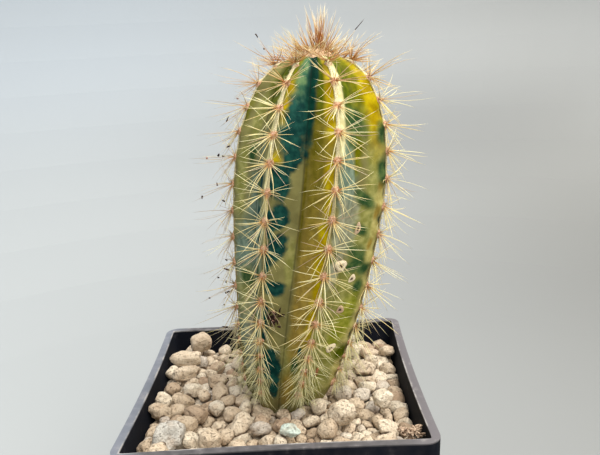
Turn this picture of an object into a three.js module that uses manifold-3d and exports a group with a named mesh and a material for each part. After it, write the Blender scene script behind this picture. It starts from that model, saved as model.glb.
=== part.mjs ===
// A young variegated torch cactus in a square black nursery pot, top-dressed with pumice.
// Millimetres, +Z up, the front is -Y. The origin is the centre of the pot's underside.
import * as THREE from "three";
import { mergeVertices } from "three/addons/utils/BufferGeometryUtils.js";
import Module from "manifold-3d";

const wasm = await Module();
wasm.setup();

// The pot: a thin moulded shell with a folded lip, standing on four corner feet and a centre pad
const POT_HEIGHT = 72;
const LIP_SIDE = 80;
const LIP_DEPTH = 9;
const LIP_WALL = 0.9;
const RIM_WIDTH = 2.3;
const POT_WALL = 1;
const BASE_SIDE = 57.4;
const FLOOR_TOP = 2.8;
const OUTER_CORNER = 4;
const INNER_CORNER = 2.2;
const SIDE_BOW = 0.8;
const CHANNEL_DEPTH = 1.4;
const CHANNEL_WIDTH = 20;
const CENTRE_PAD_RADIUS = 6.5;
const DRAIN_RADIUS = 3.5;
const DRAIN_REACH = 17;

// Clearance between pieces that rest on each other
const SEAT = 0.3;

// The filling: potting mix, and over it the pumice
const MIX_TOP = 62;
const PUMICE_BED_TOP = 64.8;
const PUMICE_TOP = 68;
const PEBBLES = 73;
const PEBBLE_SIZE = [8.2, 10];

// The stem, from the root tip in the mix to the apex: radius at the rib crests, height over the pumice
const STEM_PROFILE = [
  [3.2, -17],
  [7.2, -8],
  [11.6, 0],
  [14.4, 9],
  [18.2, 30],
  [20.6, 55],
  [20.3, 69],
  [18.4, 79],
  [14.2, 88],
  [8.2, 93],
  [0, 95],
];
const STEM_HEIGHT = 95;
// Over this height the skin also has a ring of points midway between areoles
const SMOOTH_ABOVE = 74;
const RIBS = 7;
const FRONT_RIB = THREE.MathUtils.degToRad(19);
// How far each crest is off an even spacing, in degrees
const RIB_SHIFTS = [-3.5, 0, 2, -2, 1.5, 0, 0];
const TWIST = THREE.MathUtils.degToRad(10);
const TWIST_CENTRE = 0.6;
// The axis at the pumice, and how far it leans to the right by the apex, less what it straightens
const LEAN_START = 2.6;
const LEAN = 19.2;
const LEAN_EASE = 7.1;
// One rib's points from groove to groove: share of the way from crest to groove, and share of the radius
const RIB_SECTION = [
  [-1, 0.78],
  [-0.55, 0.882],
  [-0.1, 1],
  [0.1, 1],
  [0.55, 0.882],
];

// Areoles stand in a row on each crest, joined by a felted band
const FIRST_AREOLE = 10.2;
const LAST_AREOLE_HEIGHT = 3;
const AREOLE_PITCH = [3.6, 7.4];
// Heights over which the areoles spread out, and over which they crowd together again near the top
const SPREAD_HEIGHTS = [5, 48];
const CROWDING = 1;
const CROWDING_HEIGHTS = [60, 90];
const BAND_HALF_WIDTH = 0.8;
const AREOLE_HALF_WIDTH = 1.4;
const BAND_THICKNESS = 0.8;
const AREOLE_THICKNESS = 1.3;

// Spines: azimuth from straight down the crest and rise over the skin in degrees, and length
const SPINE_RADIUS = 0.3;
const SPINE_SETS = [
  { azimuth: -100, rise: 32, length: 8 },
  { azimuth: -42, rise: 28, length: 8.5 },
  { azimuth: 38, rise: 28, length: 8.5 },
  { azimuth: 105, rise: 32, length: 8 },
  { azimuth: 10, rise: 68, length: 12.5 },
];
const SPINE_TRIES = 14;
const SPINE_CLEARANCE = 0.9;
const CROWN_SPINES = 55;
const CROWN_RADIUS = 5.6;
const CROWN_SPINE_LENGTH = 11.2;
const GOLDEN_ANGLE = Math.PI * (3 - Math.sqrt(5));

// Seeded random numbers, so that every build is the same
function randomSource(seed) {
  let state = seed;
  return (low = 0, high = 1) => {
    state = (state + 0x6d2b79f5) | 0;
    let t = Math.imul(state ^ (state >>> 15), 1 | state);
    t = (t + Math.imul(t ^ (t >>> 7), 61 | t)) ^ t;
    return low + (high - low) * (((t ^ (t >>> 14)) >>> 0) / 4294967296);
  };
}

// A closed geometry as a solid that can be joined and cut
function solidOf(geometry) {
  const bare = geometry.clone();
  bare.deleteAttribute("normal");
  bare.deleteAttribute("uv");
  const merged = mergeVertices(bare, 1e-4);
  return new wasm.Manifold(
    new wasm.Mesh({
      numProp: 3,
      vertProperties: new Float32Array(merged.attributes.position.array),
      triVerts: new Uint32Array(merged.index.array),
    }),
  );
}

// A solid as a named mesh with its own material
function piece(name, solid, material) {
  const mesh = solid.getMesh();
  const geometry = new THREE.BufferGeometry();
  geometry.setAttribute("position", new THREE.BufferAttribute(mesh.vertProperties, 3));
  geometry.setIndex(new THREE.BufferAttribute(mesh.triVerts, 1));
  geometry.computeVertexNormals();
  const made = new THREE.Mesh(geometry, material);
  made.name = name;
  return made;
}

// Rings of equal point counts skinned into a closed geometry, with a fan at each end
function loft(rings) {
  const count = rings[0].length;
  const points = rings.flat();
  const index = [];
  for (let r = 0; r + 1 < rings.length; r++)
    for (let i = 0; i < count; i++) {
      const a = r * count + i;
      const b = r * count + ((i + 1) % count);
      index.push(a, b, b + count, a, b + count, a + count);
    }
  const middle = (ring) =>
    ring.reduce((sum, p) => sum.add(p), new THREE.Vector3()).divideScalar(count);
  const start = points.push(middle(rings[0])) - 1;
  const end = points.push(middle(rings.at(-1))) - 1;
  const last = (rings.length - 1) * count;
  for (let i = 0; i < count; i++) {
    const j = (i + 1) % count;
    index.push(start, j, i, end, last + i, last + j);
  }
  const geometry = new THREE.BufferGeometry().setFromPoints(points);
  geometry.setIndex(index);
  return geometry;
}

function joined(solids) {
  return solids.reduce((sum, solid) => sum.add(solid));
}

// Pot

// A square with round corners whose sides bow in a little
function squareRing(z, half, corner, bow) {
  const points = [];
  for (let side = 0; side < 4; side++) {
    const turn = new THREE.Matrix4().makeRotationZ((side * Math.PI) / 2);
    const place = (x, y) => points.push(new THREE.Vector3(x, y, z).applyMatrix4(turn));
    for (const share of [-1, -0.5, 0, 0.5, 1])
      place(half - bow * (1 - share * share), share * (half - corner));
    for (const angle of [Math.PI / 6, Math.PI / 3])
      place(
        half - corner + corner * Math.cos(angle),
        half - corner + corner * Math.sin(angle),
      );
  }
  return points;
}

const LIP_HALF = LIP_SIDE / 2;
const INNER_TOP_HALF = LIP_HALF - RIM_WIDTH;
const OUTER_TOP_HALF = INNER_TOP_HALF + POT_WALL;
const OUTER_BASE_HALF = BASE_SIDE / 2;
const wallHalf = (z) =>
  THREE.MathUtils.lerp(OUTER_BASE_HALF, OUTER_TOP_HALF, z / POT_HEIGHT);
const bowAt = (z) => (SIDE_BOW * z) / POT_HEIGHT;

function outsideRing(z, half) {
  return squareRing(z, half, OUTER_CORNER, bowAt(z));
}

// The pot's inner outline at a height, taken in by a clearance
function insideRing(z, clearance = 0) {
  const half = wallHalf(z) - POT_WALL - clearance;
  return squareRing(z, half, INNER_CORNER, bowAt(z));
}

function drainageCuts() {
  const across = new THREE.BoxGeometry(BASE_SIDE * 2, CHANNEL_WIDTH, CHANNEL_DEPTH * 2);
  const along = new THREE.BoxGeometry(CHANNEL_WIDTH, BASE_SIDE * 2, CHANNEL_DEPTH * 2);
  const pad = new THREE.CylinderGeometry(
    CENTRE_PAD_RADIUS,
    CENTRE_PAD_RADIUS,
    CHANNEL_DEPTH * 3,
    32,
  ).rotateX(Math.PI / 2);
  const channels = solidOf(across).add(solidOf(along)).subtract(solidOf(pad));
  const holes = [0, 1, 2, 3].map((side) => {
    const angle = (side * Math.PI) / 2;
    const hole = new THREE.CylinderGeometry(
      DRAIN_RADIUS,
      DRAIN_RADIUS,
      FLOOR_TOP * 3,
      20,
    ).rotateX(Math.PI / 2);
    hole.translate(DRAIN_REACH * Math.cos(angle), DRAIN_REACH * Math.sin(angle), 0);
    return solidOf(hole);
  });
  return joined([channels, ...holes]);
}

function potSolid() {
  const underLip = POT_HEIGHT - 1.4;
  const lipFoot = POT_HEIGHT - LIP_DEPTH;
  const edge = 0.6;
  const shell = loft([
    outsideRing(0, OUTER_BASE_HALF - edge),
    outsideRing(edge, wallHalf(edge)),
    outsideRing(underLip, wallHalf(underLip)),
    outsideRing(underLip, LIP_HALF - LIP_WALL),
    outsideRing(lipFoot, LIP_HALF - LIP_WALL - 0.3),
    outsideRing(lipFoot, LIP_HALF - 0.3),
    outsideRing(POT_HEIGHT - edge, LIP_HALF),
    outsideRing(POT_HEIGHT, LIP_HALF - edge),
    squareRing(POT_HEIGHT, INNER_TOP_HALF + 0.3, INNER_CORNER, bowAt(POT_HEIGHT)),
    insideRing(POT_HEIGHT - 0.3),
    insideRing(FLOOR_TOP),
  ]);
  return solidOf(shell).subtract(drainageCuts());
}

// Stem

const profile = new THREE.SplineCurve(STEM_PROFILE.map((p) => new THREE.Vector2(...p)));
const profileLength = profile.getLength();

// Crest radius (x) and height over the pumice (y), at a distance down the profile from the apex
function profileAt(distance) {
  return profile.getPointAt(1 - distance / profileLength);
}

// The stem leans to the right and straightens as it rises
function axisAt(height) {
  const share = height / STEM_HEIGHT;
  const lean = LEAN_START + LEAN * share - LEAN_EASE * share * share;
  return new THREE.Vector3(lean, 0, PUMICE_TOP + height);
}

// Angle of a rib's crest, from the front towards +X
function crestAngle(rib, height) {
  const even = FRONT_RIB + (rib * 2 * Math.PI) / RIBS;
  const shift = THREE.MathUtils.degToRad(RIB_SHIFTS[(rib + RIBS) % RIBS]);
  return even + shift + TWIST * (height / STEM_HEIGHT - TWIST_CENTRE);
}

// Angle from a rib's crest to the groove on the side that a share's sign gives
function flankAngle(rib, share) {
  return (crestAngle(rib + Math.sign(share), 0) - crestAngle(rib, 0)) / 2;
}

function onStem(radius, height, angle) {
  const outward = new THREE.Vector3(Math.sin(angle), -Math.cos(angle), 0);
  return axisAt(height).addScaledVector(outward, radius);
}

function areoleDistances() {
  const distances = [];
  let distance = FIRST_AREOLE;
  while (profileAt(distance).y > LAST_AREOLE_HEIGHT) {
    distances.push(distance);
    const height = profileAt(distance).y;
    const spread = THREE.MathUtils.smoothstep(height, ...SPREAD_HEIGHTS);
    const crowded = THREE.MathUtils.smoothstep(height, ...CROWDING_HEIGHTS);
    distance += THREE.MathUtils.lerp(...AREOLE_PITCH, spread) - CROWDING * crowded;
  }
  return distances;
}

const areoles = areoleDistances();
const betweenAreoles = areoles
  .slice(1)
  .map((distance, i) => (distance + areoles[i]) / 2);
const crestLevels = [...areoles, ...betweenAreoles].sort((a, b) => a - b);
const apexLevels = [1, 3.5, 6.2];
const skinLevels = crestLevels.filter(
  (distance) => areoles.includes(distance) || profileAt(distance).y > SMOOTH_ABOVE,
);
const rootLevels = [0.22, 0.44, 0.66, 0.86, 1].map((share) =>
  THREE.MathUtils.lerp(crestLevels.at(-1), profileLength, share),
);

function stemRing(distance, clearance) {
  const { x: radius, y: height } = profileAt(distance);
  const points = [];
  for (let rib = 0; rib < RIBS; rib++)
    for (const [angleShare, radiusShare] of RIB_SECTION) {
      const off = Math.abs(angleShare) * flankAngle(rib, angleShare);
      const angle = crestAngle(rib, height) + off;
      points.push(onStem(radius * radiusShare + clearance, height, angle));
    }
  return points;
}

// The stem, or with a clearance the room that it takes in the mix and the pumice
function stemSolid(clearance = 0) {
  const levels = [...rootLevels.toReversed(), ...skinLevels.toReversed()];
  levels.push(...apexLevels.toReversed());
  return solidOf(loft(levels.map((distance) => stemRing(distance, clearance))));
}

// How far a point lies outside the stem's crests, negative inside the round that they touch
function outsideStem(point) {
  const height = THREE.MathUtils.clamp(point.z - PUMICE_TOP, 0, STEM_HEIGHT);
  const axis = axisAt(height);
  const away = Math.hypot(point.x - axis.x, point.y - axis.y);
  const above = point.z - PUMICE_TOP - STEM_HEIGHT;
  let radius = 0;
  for (let i = 0; i + 1 < crestLevels.length; i++) {
    const upper = profileAt(crestLevels[i]);
    const lower = profileAt(crestLevels[i + 1]);
    if (height <= upper.y && height >= lower.y)
      radius = Math.max(
        radius,
        THREE.MathUtils.mapLinear(height, lower.y, upper.y, lower.x, upper.x),
      );
  }
  return Math.max(away - radius, above);
}

// Spines

// The frame of a rib's crest: its point, the way up the crest, the way out, and the side
function crestFrame(rib, distance) {
  const at = (d) => {
    const { x: radius, y: height } = profileAt(d);
    return onStem(radius, height, crestAngle(rib, height));
  };
  const point = at(distance);
  const up = at(distance - 0.5).sub(at(distance + 0.5)).normalize();
  const { y: height } = profileAt(distance);
  const angle = crestAngle(rib, height);
  const side = new THREE.Vector3(Math.cos(angle), Math.sin(angle), 0);
  const out = side.clone().cross(up).normalize();
  return { point, up, out, side: out.clone().cross(up) };
}

// A three-sided needle from a root point
function needle({ root, tip }) {
  const along = tip.clone().sub(root);
  const cone = new THREE.ConeGeometry(SPINE_RADIUS, along.length(), 3);
  cone.translate(0, along.length() / 2, 0);
  const turn = new THREE.Quaternion().setFromUnitVectors(
    new THREE.Vector3(0, 1, 0),
    along.normalize(),
  );
  cone.applyQuaternion(turn);
  cone.translate(root.x, root.y, root.z);
  return solidOf(cone);
}

// Shortest distance between two spines' centrelines
function spineGap(a, b) {
  const steps = 12;
  let least = Infinity;
  for (let i = 0; i <= steps; i++) {
    const p = a.root.clone().lerp(a.tip, i / steps);
    const nearest = new THREE.Line3(b.root, b.tip).closestPointToPoint(
      p,
      true,
      new THREE.Vector3(),
    );
    least = Math.min(least, nearest.distanceTo(p));
  }
  return least;
}

// Whether a spine keeps to its own rib, and off the skin, the pumice and the other ribs' spines
function hasRoom(spine, rib, placed) {
  for (const share of [0.35, 0.55, 0.8, 1]) {
    const p = spine.root.clone().lerp(spine.tip, share);
    if (p.z < PUMICE_TOP + 2) return false;
    if (outsideStem(p) < 0.5 && share > 0.5) return false;
    if (rib === null) continue;
    const height = Math.min(p.z - PUMICE_TOP, STEM_HEIGHT);
    const axis = axisAt(height);
    const angle = Math.atan2(p.x - axis.x, -(p.y - axis.y));
    const off = angle - crestAngle(rib, height);
    const turned = Math.atan2(Math.sin(off), Math.cos(off));
    if (Math.abs(turned) > Math.abs(flankAngle(rib, turned)) * 0.93) return false;
  }
  return placed.every(
    (other) => other.rib === rib || spineGap(spine, other) > SPINE_CLEARANCE,
  );
}

// The felted band on one crest, swelling into a pad at each areole
function bandRing(rib, distance) {
  const { point, out, side } = crestFrame(rib, distance);
  const isAreole = areoles.includes(distance);
  const width = isAreole ? AREOLE_HALF_WIDTH : BAND_HALF_WIDTH;
  const top = SEAT + (isAreole ? AREOLE_THICKNESS : BAND_THICKNESS);
  const section = [
    [-width, SEAT],
    [width, SEAT],
    [width * 0.75, SEAT + (top - SEAT) * 0.7],
    [0, top],
    [-width * 0.75, SEAT + (top - SEAT) * 0.7],
  ];
  return section.map(([across, high]) =>
    point.clone().addScaledVector(side, across).addScaledVector(out, high),
  );
}

function ribSpines(rib, placed, random) {
  const spines = [];
  for (const distance of areoles) {
    const { point, up, out, side } = crestFrame(rib, distance);
    const root = point.clone().addScaledVector(out, SEAT + AREOLE_THICKNESS * 0.5);
    for (const set of SPINE_SETS)
      for (let attempt = 0; attempt < SPINE_TRIES; attempt++) {
        const azimuth = THREE.MathUtils.degToRad(set.azimuth + random(-24, 24));
        const rise = THREE.MathUtils.degToRad(set.rise + random(-8, 8) + attempt * 2);
        const direction = up
          .clone()
          .multiplyScalar(-Math.cos(azimuth) * Math.cos(rise))
          .addScaledVector(side, Math.sin(azimuth) * Math.cos(rise))
          .addScaledVector(out, Math.sin(rise));
        const length = set.length * random(0.82, 1.12);
        const tip = root.clone().addScaledVector(direction, length);
        const spine = { root, tip, rib };
        if (!hasRoom(spine, rib, placed)) continue;
        spines.push(spine);
        break;
      }
  }
  return spines;
}

function ribSolid(rib, spines) {
  const band = solidOf(
    loft(crestLevels.toReversed().map((distance) => bandRing(rib, distance))),
  );
  return joined([band, ...spines.map(needle)]);
}

// The woolly cap at the growing point, and the tuft of young spines in it
const apex = onStem(0, STEM_HEIGHT, 0);

function crownCap() {
  const seat = profileAt(CROWN_RADIUS).y - STEM_HEIGHT + SEAT * 1.6;
  const outline = [
    [0, SEAT * 1.4],
    [CROWN_RADIUS, seat],
    [CROWN_RADIUS, seat + 0.5],
    [CROWN_RADIUS * 0.6, SEAT + 1],
    [0, SEAT + 1.5],
  ];
  const cap = new THREE.LatheGeometry(
    outline.map((p) => new THREE.Vector2(...p)),
    14,
  );
  cap.rotateX(Math.PI / 2);
  cap.translate(apex.x, apex.y, apex.z);
  return solidOf(cap);
}

function crownSpines(random) {
  const spines = [];
  for (let i = 0; i < CROWN_SPINES; i++) {
    const share = Math.sqrt((i + 0.5) / CROWN_SPINES);
    const angle = i * GOLDEN_ANGLE;
    const outward = new THREE.Vector3(Math.cos(angle), Math.sin(angle), 0);
    const root = apex.clone().addScaledVector(outward, share * CROWN_RADIUS * 0.82);
    root.z += SEAT + 0.9 - share * share * 0.75;
    const lean = THREE.MathUtils.degToRad(6 + 52 * share + random(-8, 8));
    const length = CROWN_SPINE_LENGTH * random(0.75, 1.08) * (1 - 0.25 * share);
    const tip = root
      .clone()
      .addScaledVector(outward, Math.sin(lean) * length)
      .add(new THREE.Vector3(0, 0, Math.cos(lean) * length));
    spines.push({ root, tip, rib: null });
  }
  return spines;
}

// Filling

function mixSolid(stemRoom) {
  const block = loft([
    insideRing(FLOOR_TOP + SEAT, SEAT),
    insideRing(MIX_TOP, SEAT),
  ]);
  return solidOf(block).subtract(stemRoom);
}

// Pebble centres spread evenly: each is the best of several random places
function pebblePlaces(random) {
  const reach = INNER_TOP_HALF - 2.4;
  const foot = onStem(0, 0, 0);
  const footRadius = profileAt(crestLevels.at(-1)).x;
  const places = [];
  while (places.length < PEBBLES) {
    let best = null;
    for (let i = 0; i < 24; i++) {
      const x = random(-reach, reach);
      const y = random(-reach, reach);
      if (Math.hypot(x - foot.x, y - foot.y) < footRadius + 0.8) continue;
      const room = Math.min(...places.map((p) => Math.hypot(p.x - x, p.y - y)), 99);
      if (!best || room > best.room) best = { x, y, room };
    }
    if (best) places.push(best);
  }
  return places;
}

function pebbleSolid({ x, y }, random) {
  const size = random(...PEBBLE_SIZE) / 2;
  const lump = new THREE.IcosahedronGeometry(size, 0);
  lump.deleteAttribute("normal");
  lump.deleteAttribute("uv");
  const stone = mergeVertices(lump, 1e-4);
  const corners = stone.attributes.position;
  for (let i = 0; i < corners.count; i++) {
    const share = random(0.86, 1.14);
    corners.setXYZ(
      i,
      corners.getX(i) * share,
      corners.getY(i) * share,
      corners.getZ(i) * share,
    );
  }
  stone.scale(1, random(0.82, 1), random(0.62, 0.76));
  stone.rotateX(random(-0.5, 0.5));
  stone.rotateZ(random(0, Math.PI * 2));
  stone.translate(x, y, PUMICE_BED_TOP + random(-0.5, 0.7));
  return solidOf(stone);
}

function pumiceSolid(stemRoom, random) {
  const bed = solidOf(
    loft([insideRing(MIX_TOP + SEAT, SEAT), insideRing(PUMICE_BED_TOP, SEAT)]),
  );
  const room = solidOf(
    loft([insideRing(MIX_TOP + SEAT, SEAT), insideRing(POT_HEIGHT - 0.5, SEAT)]),
  );
  const stones = pebblePlaces(random).map((place) => pebbleSolid(place, random));
  return joined([bed, ...stones]).intersect(room).subtract(stemRoom);
}

// Materials

const finish = (color, roughness) =>
  new THREE.MeshStandardMaterial({ color, roughness, metalness: 0 });
const blackPlastic = finish(0x26272c, 0.5);
const potEarth = finish(0x3a2c20, 0.95);
const pumice = finish(0xcdb896, 0.9);
const variegatedSkin = finish(0x8b9638, 0.5);
const strawSpine = finish(0xe8dba6, 0.55);
const rustSpine = finish(0xc08250, 0.55);

// The plant in its pot

const plant = new THREE.Group();
const stemRoom = stemSolid(SEAT * 1.2);
plant.add(piece("pot", potSolid(), blackPlastic));
plant.add(piece("potting_mix", mixSolid(stemRoom), potEarth));
plant.add(piece("pumice_dressing", pumiceSolid(stemRoom, randomSource(11)), pumice));
plant.add(piece("stem", stemSolid(), variegatedSkin));

const crown = crownSpines(randomSource(23));
plant.add(piece("crown_spines", joined([crownCap(), ...crown.map(needle)]), rustSpine));

const placed = [...crown];
const spineRandom = randomSource(37);
for (let rib = 0; rib < RIBS; rib++) {
  const spines = ribSpines(rib, placed, spineRandom);
  placed.push(...spines);
  plant.add(piece("rib_" + (rib + 1) + "_spines", ribSolid(rib, spines), strawSpine));
}

export default plant;
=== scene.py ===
import math

import bmesh
import bpy
import numpy as np
from mathutils import Matrix, Vector, noise


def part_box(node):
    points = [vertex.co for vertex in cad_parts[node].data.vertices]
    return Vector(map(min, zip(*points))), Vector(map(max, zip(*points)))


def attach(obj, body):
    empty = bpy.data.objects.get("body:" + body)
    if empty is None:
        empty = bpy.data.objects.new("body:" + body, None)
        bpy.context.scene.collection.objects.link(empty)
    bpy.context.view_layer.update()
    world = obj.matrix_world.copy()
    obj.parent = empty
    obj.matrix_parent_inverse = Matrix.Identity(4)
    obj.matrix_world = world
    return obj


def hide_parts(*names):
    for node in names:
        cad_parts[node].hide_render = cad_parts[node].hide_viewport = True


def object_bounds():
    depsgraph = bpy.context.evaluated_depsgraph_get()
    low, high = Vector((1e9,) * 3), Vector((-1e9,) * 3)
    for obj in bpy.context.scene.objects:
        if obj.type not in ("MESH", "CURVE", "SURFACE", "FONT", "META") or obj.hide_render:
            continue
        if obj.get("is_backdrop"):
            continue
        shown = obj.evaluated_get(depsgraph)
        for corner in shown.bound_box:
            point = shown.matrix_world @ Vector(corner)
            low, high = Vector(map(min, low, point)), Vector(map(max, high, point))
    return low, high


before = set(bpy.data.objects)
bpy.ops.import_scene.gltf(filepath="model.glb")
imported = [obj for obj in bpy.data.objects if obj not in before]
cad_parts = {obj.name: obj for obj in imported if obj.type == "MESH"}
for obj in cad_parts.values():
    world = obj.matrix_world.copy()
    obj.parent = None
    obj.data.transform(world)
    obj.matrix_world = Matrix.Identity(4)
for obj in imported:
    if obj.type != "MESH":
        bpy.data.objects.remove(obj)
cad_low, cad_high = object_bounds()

# The nursery pot: one thin moulding of black plastic. Its walls taper, its sides bow in a little, and
# its lip is folded out and down. It stands on four corner feet and a round centre pad, between
# which the water drains off through four holes.
MM = 0.001
RIM_WIDTH = 2.3 * MM
WALL = 1.0 * MM
LIP_WALL = 0.9 * MM
LIP_DEPTH = 9 * MM
LIP_FLARE = 0.3 * MM
UNDER_LIP = 1.4 * MM
BASE_HALF = 28.7 * MM
BASE_CORNER = 2.9 * MM
FLOOR_TOP = 2.8 * MM
SIDE_BOW = 0.8 * MM
EDGE_ROUND = 0.28 * MM
# In radians: edges sharper than these are rounded over, or stay crisp in the shading
ROUNDED_ANGLE = 0.8
CRISP_ANGLE = 0.6
CHANNEL_DEPTH = 1.4 * MM
CHANNEL_WIDTH = 20 * MM
PAD_RADIUS = 6.5 * MM
DRAIN_RADIUS = 3.5 * MM
DRAIN_REACH = 17 * MM

pot_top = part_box("pot")[1]
POT_HEIGHT = pot_top.z
LIP_HALF = pot_top.x
WALL_TOP_HALF = LIP_HALF - RIM_WIDTH + WALL
INNER_CORNER = BASE_CORNER * LIP_HALF / BASE_HALF - RIM_WIDTH
# How nearly square the inner corners are: 2 is round
SQUARENESS = 6


def wall_half(height):
    """Half the pot's width over its outer walls at a height."""
    return BASE_HALF + (WALL_TOP_HALF - BASE_HALF) * height / POT_HEIGHT


def deselect():
    """Leaves edit mode and clears the selection, which the CAD nodes are otherwise part of."""
    if bpy.context.mode != "OBJECT":
        bpy.ops.object.mode_set(mode="OBJECT")
    bpy.ops.object.select_all(action="DESELECT")


def pick(kind, test):
    """In edit mode, selects just the edges or faces that pass a test."""
    bpy.ops.mesh.select_mode(type={"edges": "EDGE", "faces": "FACE"}[kind])
    bpy.ops.mesh.select_all(action="DESELECT")
    mesh = bmesh.from_edit_mesh(bpy.context.object.data)
    for part in getattr(mesh, kind):
        if test(part):
            part.select_set(True)
    bmesh.update_edit_mesh(bpy.context.object.data)


def edit_whole():
    """Enters edit mode with all of the active object selected."""
    bpy.ops.object.mode_set(mode="EDIT")
    bpy.ops.mesh.select_all(action="SELECT")


def raise_cap(height, half):
    """Extrudes the selected cap face to a height and sizes it to a half width."""
    mesh = bmesh.from_edit_mesh(bpy.context.object.data)
    cap = [vertex.co for vertex in mesh.verts if vertex.select]
    now = max(point.x for point in cap)
    rise = height - cap[0].z
    bpy.ops.mesh.extrude_region_move(TRANSFORM_OT_translate={"value": (0, 0, rise)})
    bpy.ops.transform.resize(value=(half / now, half / now, 1), center_override=(0, 0, height))


def apply_modifier(piece, kind, **settings):
    """Gives a piece a modifier with these settings and applies it."""
    deselect()
    piece.select_set(True)
    bpy.context.view_layer.objects.active = piece
    modifier = piece.modifiers.new(kind.lower(), kind)
    for name, value in settings.items():
        setattr(modifier, name, value)
    bpy.ops.object.modifier_apply(modifier=modifier.name)


def cut_or_join(piece, other, operation):
    """Cuts another object from a piece or joins it on, and removes that object."""
    apply_modifier(piece, "BOOLEAN", object=other, operation=operation, solver="EXACT")
    bpy.data.objects.remove(other)


deselect()
bpy.ops.mesh.primitive_plane_add(size=2 * BASE_HALF)
pot = bpy.context.object
pot.name = "nursery_pot"
edit_whole()
bpy.ops.mesh.bevel(offset=BASE_CORNER, segments=8, affect="VERTICES")
pick("edges", lambda edge: edge.calc_length() > BASE_HALF)
bpy.ops.mesh.subdivide(number_cuts=11)
pick("faces", lambda face: True)
raise_cap(EDGE_ROUND, wall_half(EDGE_ROUND) + EDGE_ROUND / 4)
raise_cap(POT_HEIGHT - UNDER_LIP, wall_half(POT_HEIGHT - UNDER_LIP))
raise_cap(POT_HEIGHT - UNDER_LIP, LIP_HALF - LIP_WALL)
raise_cap(POT_HEIGHT - LIP_DEPTH, LIP_HALF - LIP_WALL - LIP_FLARE)
raise_cap(POT_HEIGHT - LIP_DEPTH, LIP_HALF - LIP_FLARE)
raise_cap(POT_HEIGHT, LIP_HALF)
bpy.ops.mesh.inset(thickness=RIM_WIDTH)
raise_cap(FLOOR_TOP, wall_half(FLOOR_TOP) - WALL)
bpy.ops.mesh.select_all(action="SELECT")
bpy.ops.mesh.normals_make_consistent(inside=False)
deselect()

for vertex in pot.data.vertices:
    along, across = (0, 1) if abs(vertex.co.x) > abs(vertex.co.y) else (1, 0)
    reach = abs(vertex.co[along])
    inside = reach < wall_half(vertex.co.z) - WALL / 2 and vertex.co.z > FLOOR_TOP / 2
    flat_half = wall_half(vertex.co.z) - WALL
    corner = INNER_CORNER * flat_half / (LIP_HALF - RIM_WIDTH)
    off_arc = [abs(vertex.co[axis]) - flat_half + corner for axis in (0, 1)]
    if inside and min(off_arc) > 0:
        squared = sum((off / corner) ** SQUARENESS for off in off_arc) ** (1 / SQUARENESS)
        for axis in (0, 1):
            full = flat_half - corner + off_arc[axis] / squared
            vertex.co[axis] = math.copysign(full, vertex.co[axis])
        reach = abs(vertex.co[along])
    share = min(abs(vertex.co[across]) / (reach - BASE_CORNER), 1)
    bow = SIDE_BOW * vertex.co.z / POT_HEIGHT * (1 - share**2)
    vertex.co[along] -= math.copysign(bow, vertex.co[along])
apply_modifier(
    pot, "BEVEL", width=EDGE_ROUND, segments=2, limit_method="ANGLE", angle_limit=ROUNDED_ANGLE
)

bpy.ops.mesh.primitive_cube_add(size=1, scale=(3 * BASE_HALF, CHANNEL_WIDTH, 2 * CHANNEL_DEPTH))
drainage = bpy.context.object
bpy.ops.mesh.primitive_cube_add(size=1, scale=(CHANNEL_WIDTH, 3 * BASE_HALF, 2 * CHANNEL_DEPTH))
cut_or_join(drainage, bpy.context.object, "UNION")
bpy.ops.mesh.primitive_cylinder_add(vertices=48, radius=PAD_RADIUS, depth=4 * CHANNEL_DEPTH)
cut_or_join(drainage, bpy.context.object, "DIFFERENCE")
for quarter in range(4):
    spot = Matrix.Rotation(quarter * math.pi / 2, 3, "Z") @ Vector((DRAIN_REACH, 0, 0))
    bpy.ops.mesh.primitive_cylinder_add(
        vertices=32, radius=DRAIN_RADIUS, depth=4 * FLOOR_TOP, location=spot
    )
    cut_or_join(drainage, bpy.context.object, "UNION")
cut_or_join(pot, drainage, "DIFFERENCE")
bpy.ops.object.shade_smooth_by_angle(angle=CRISP_ANGLE)


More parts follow.
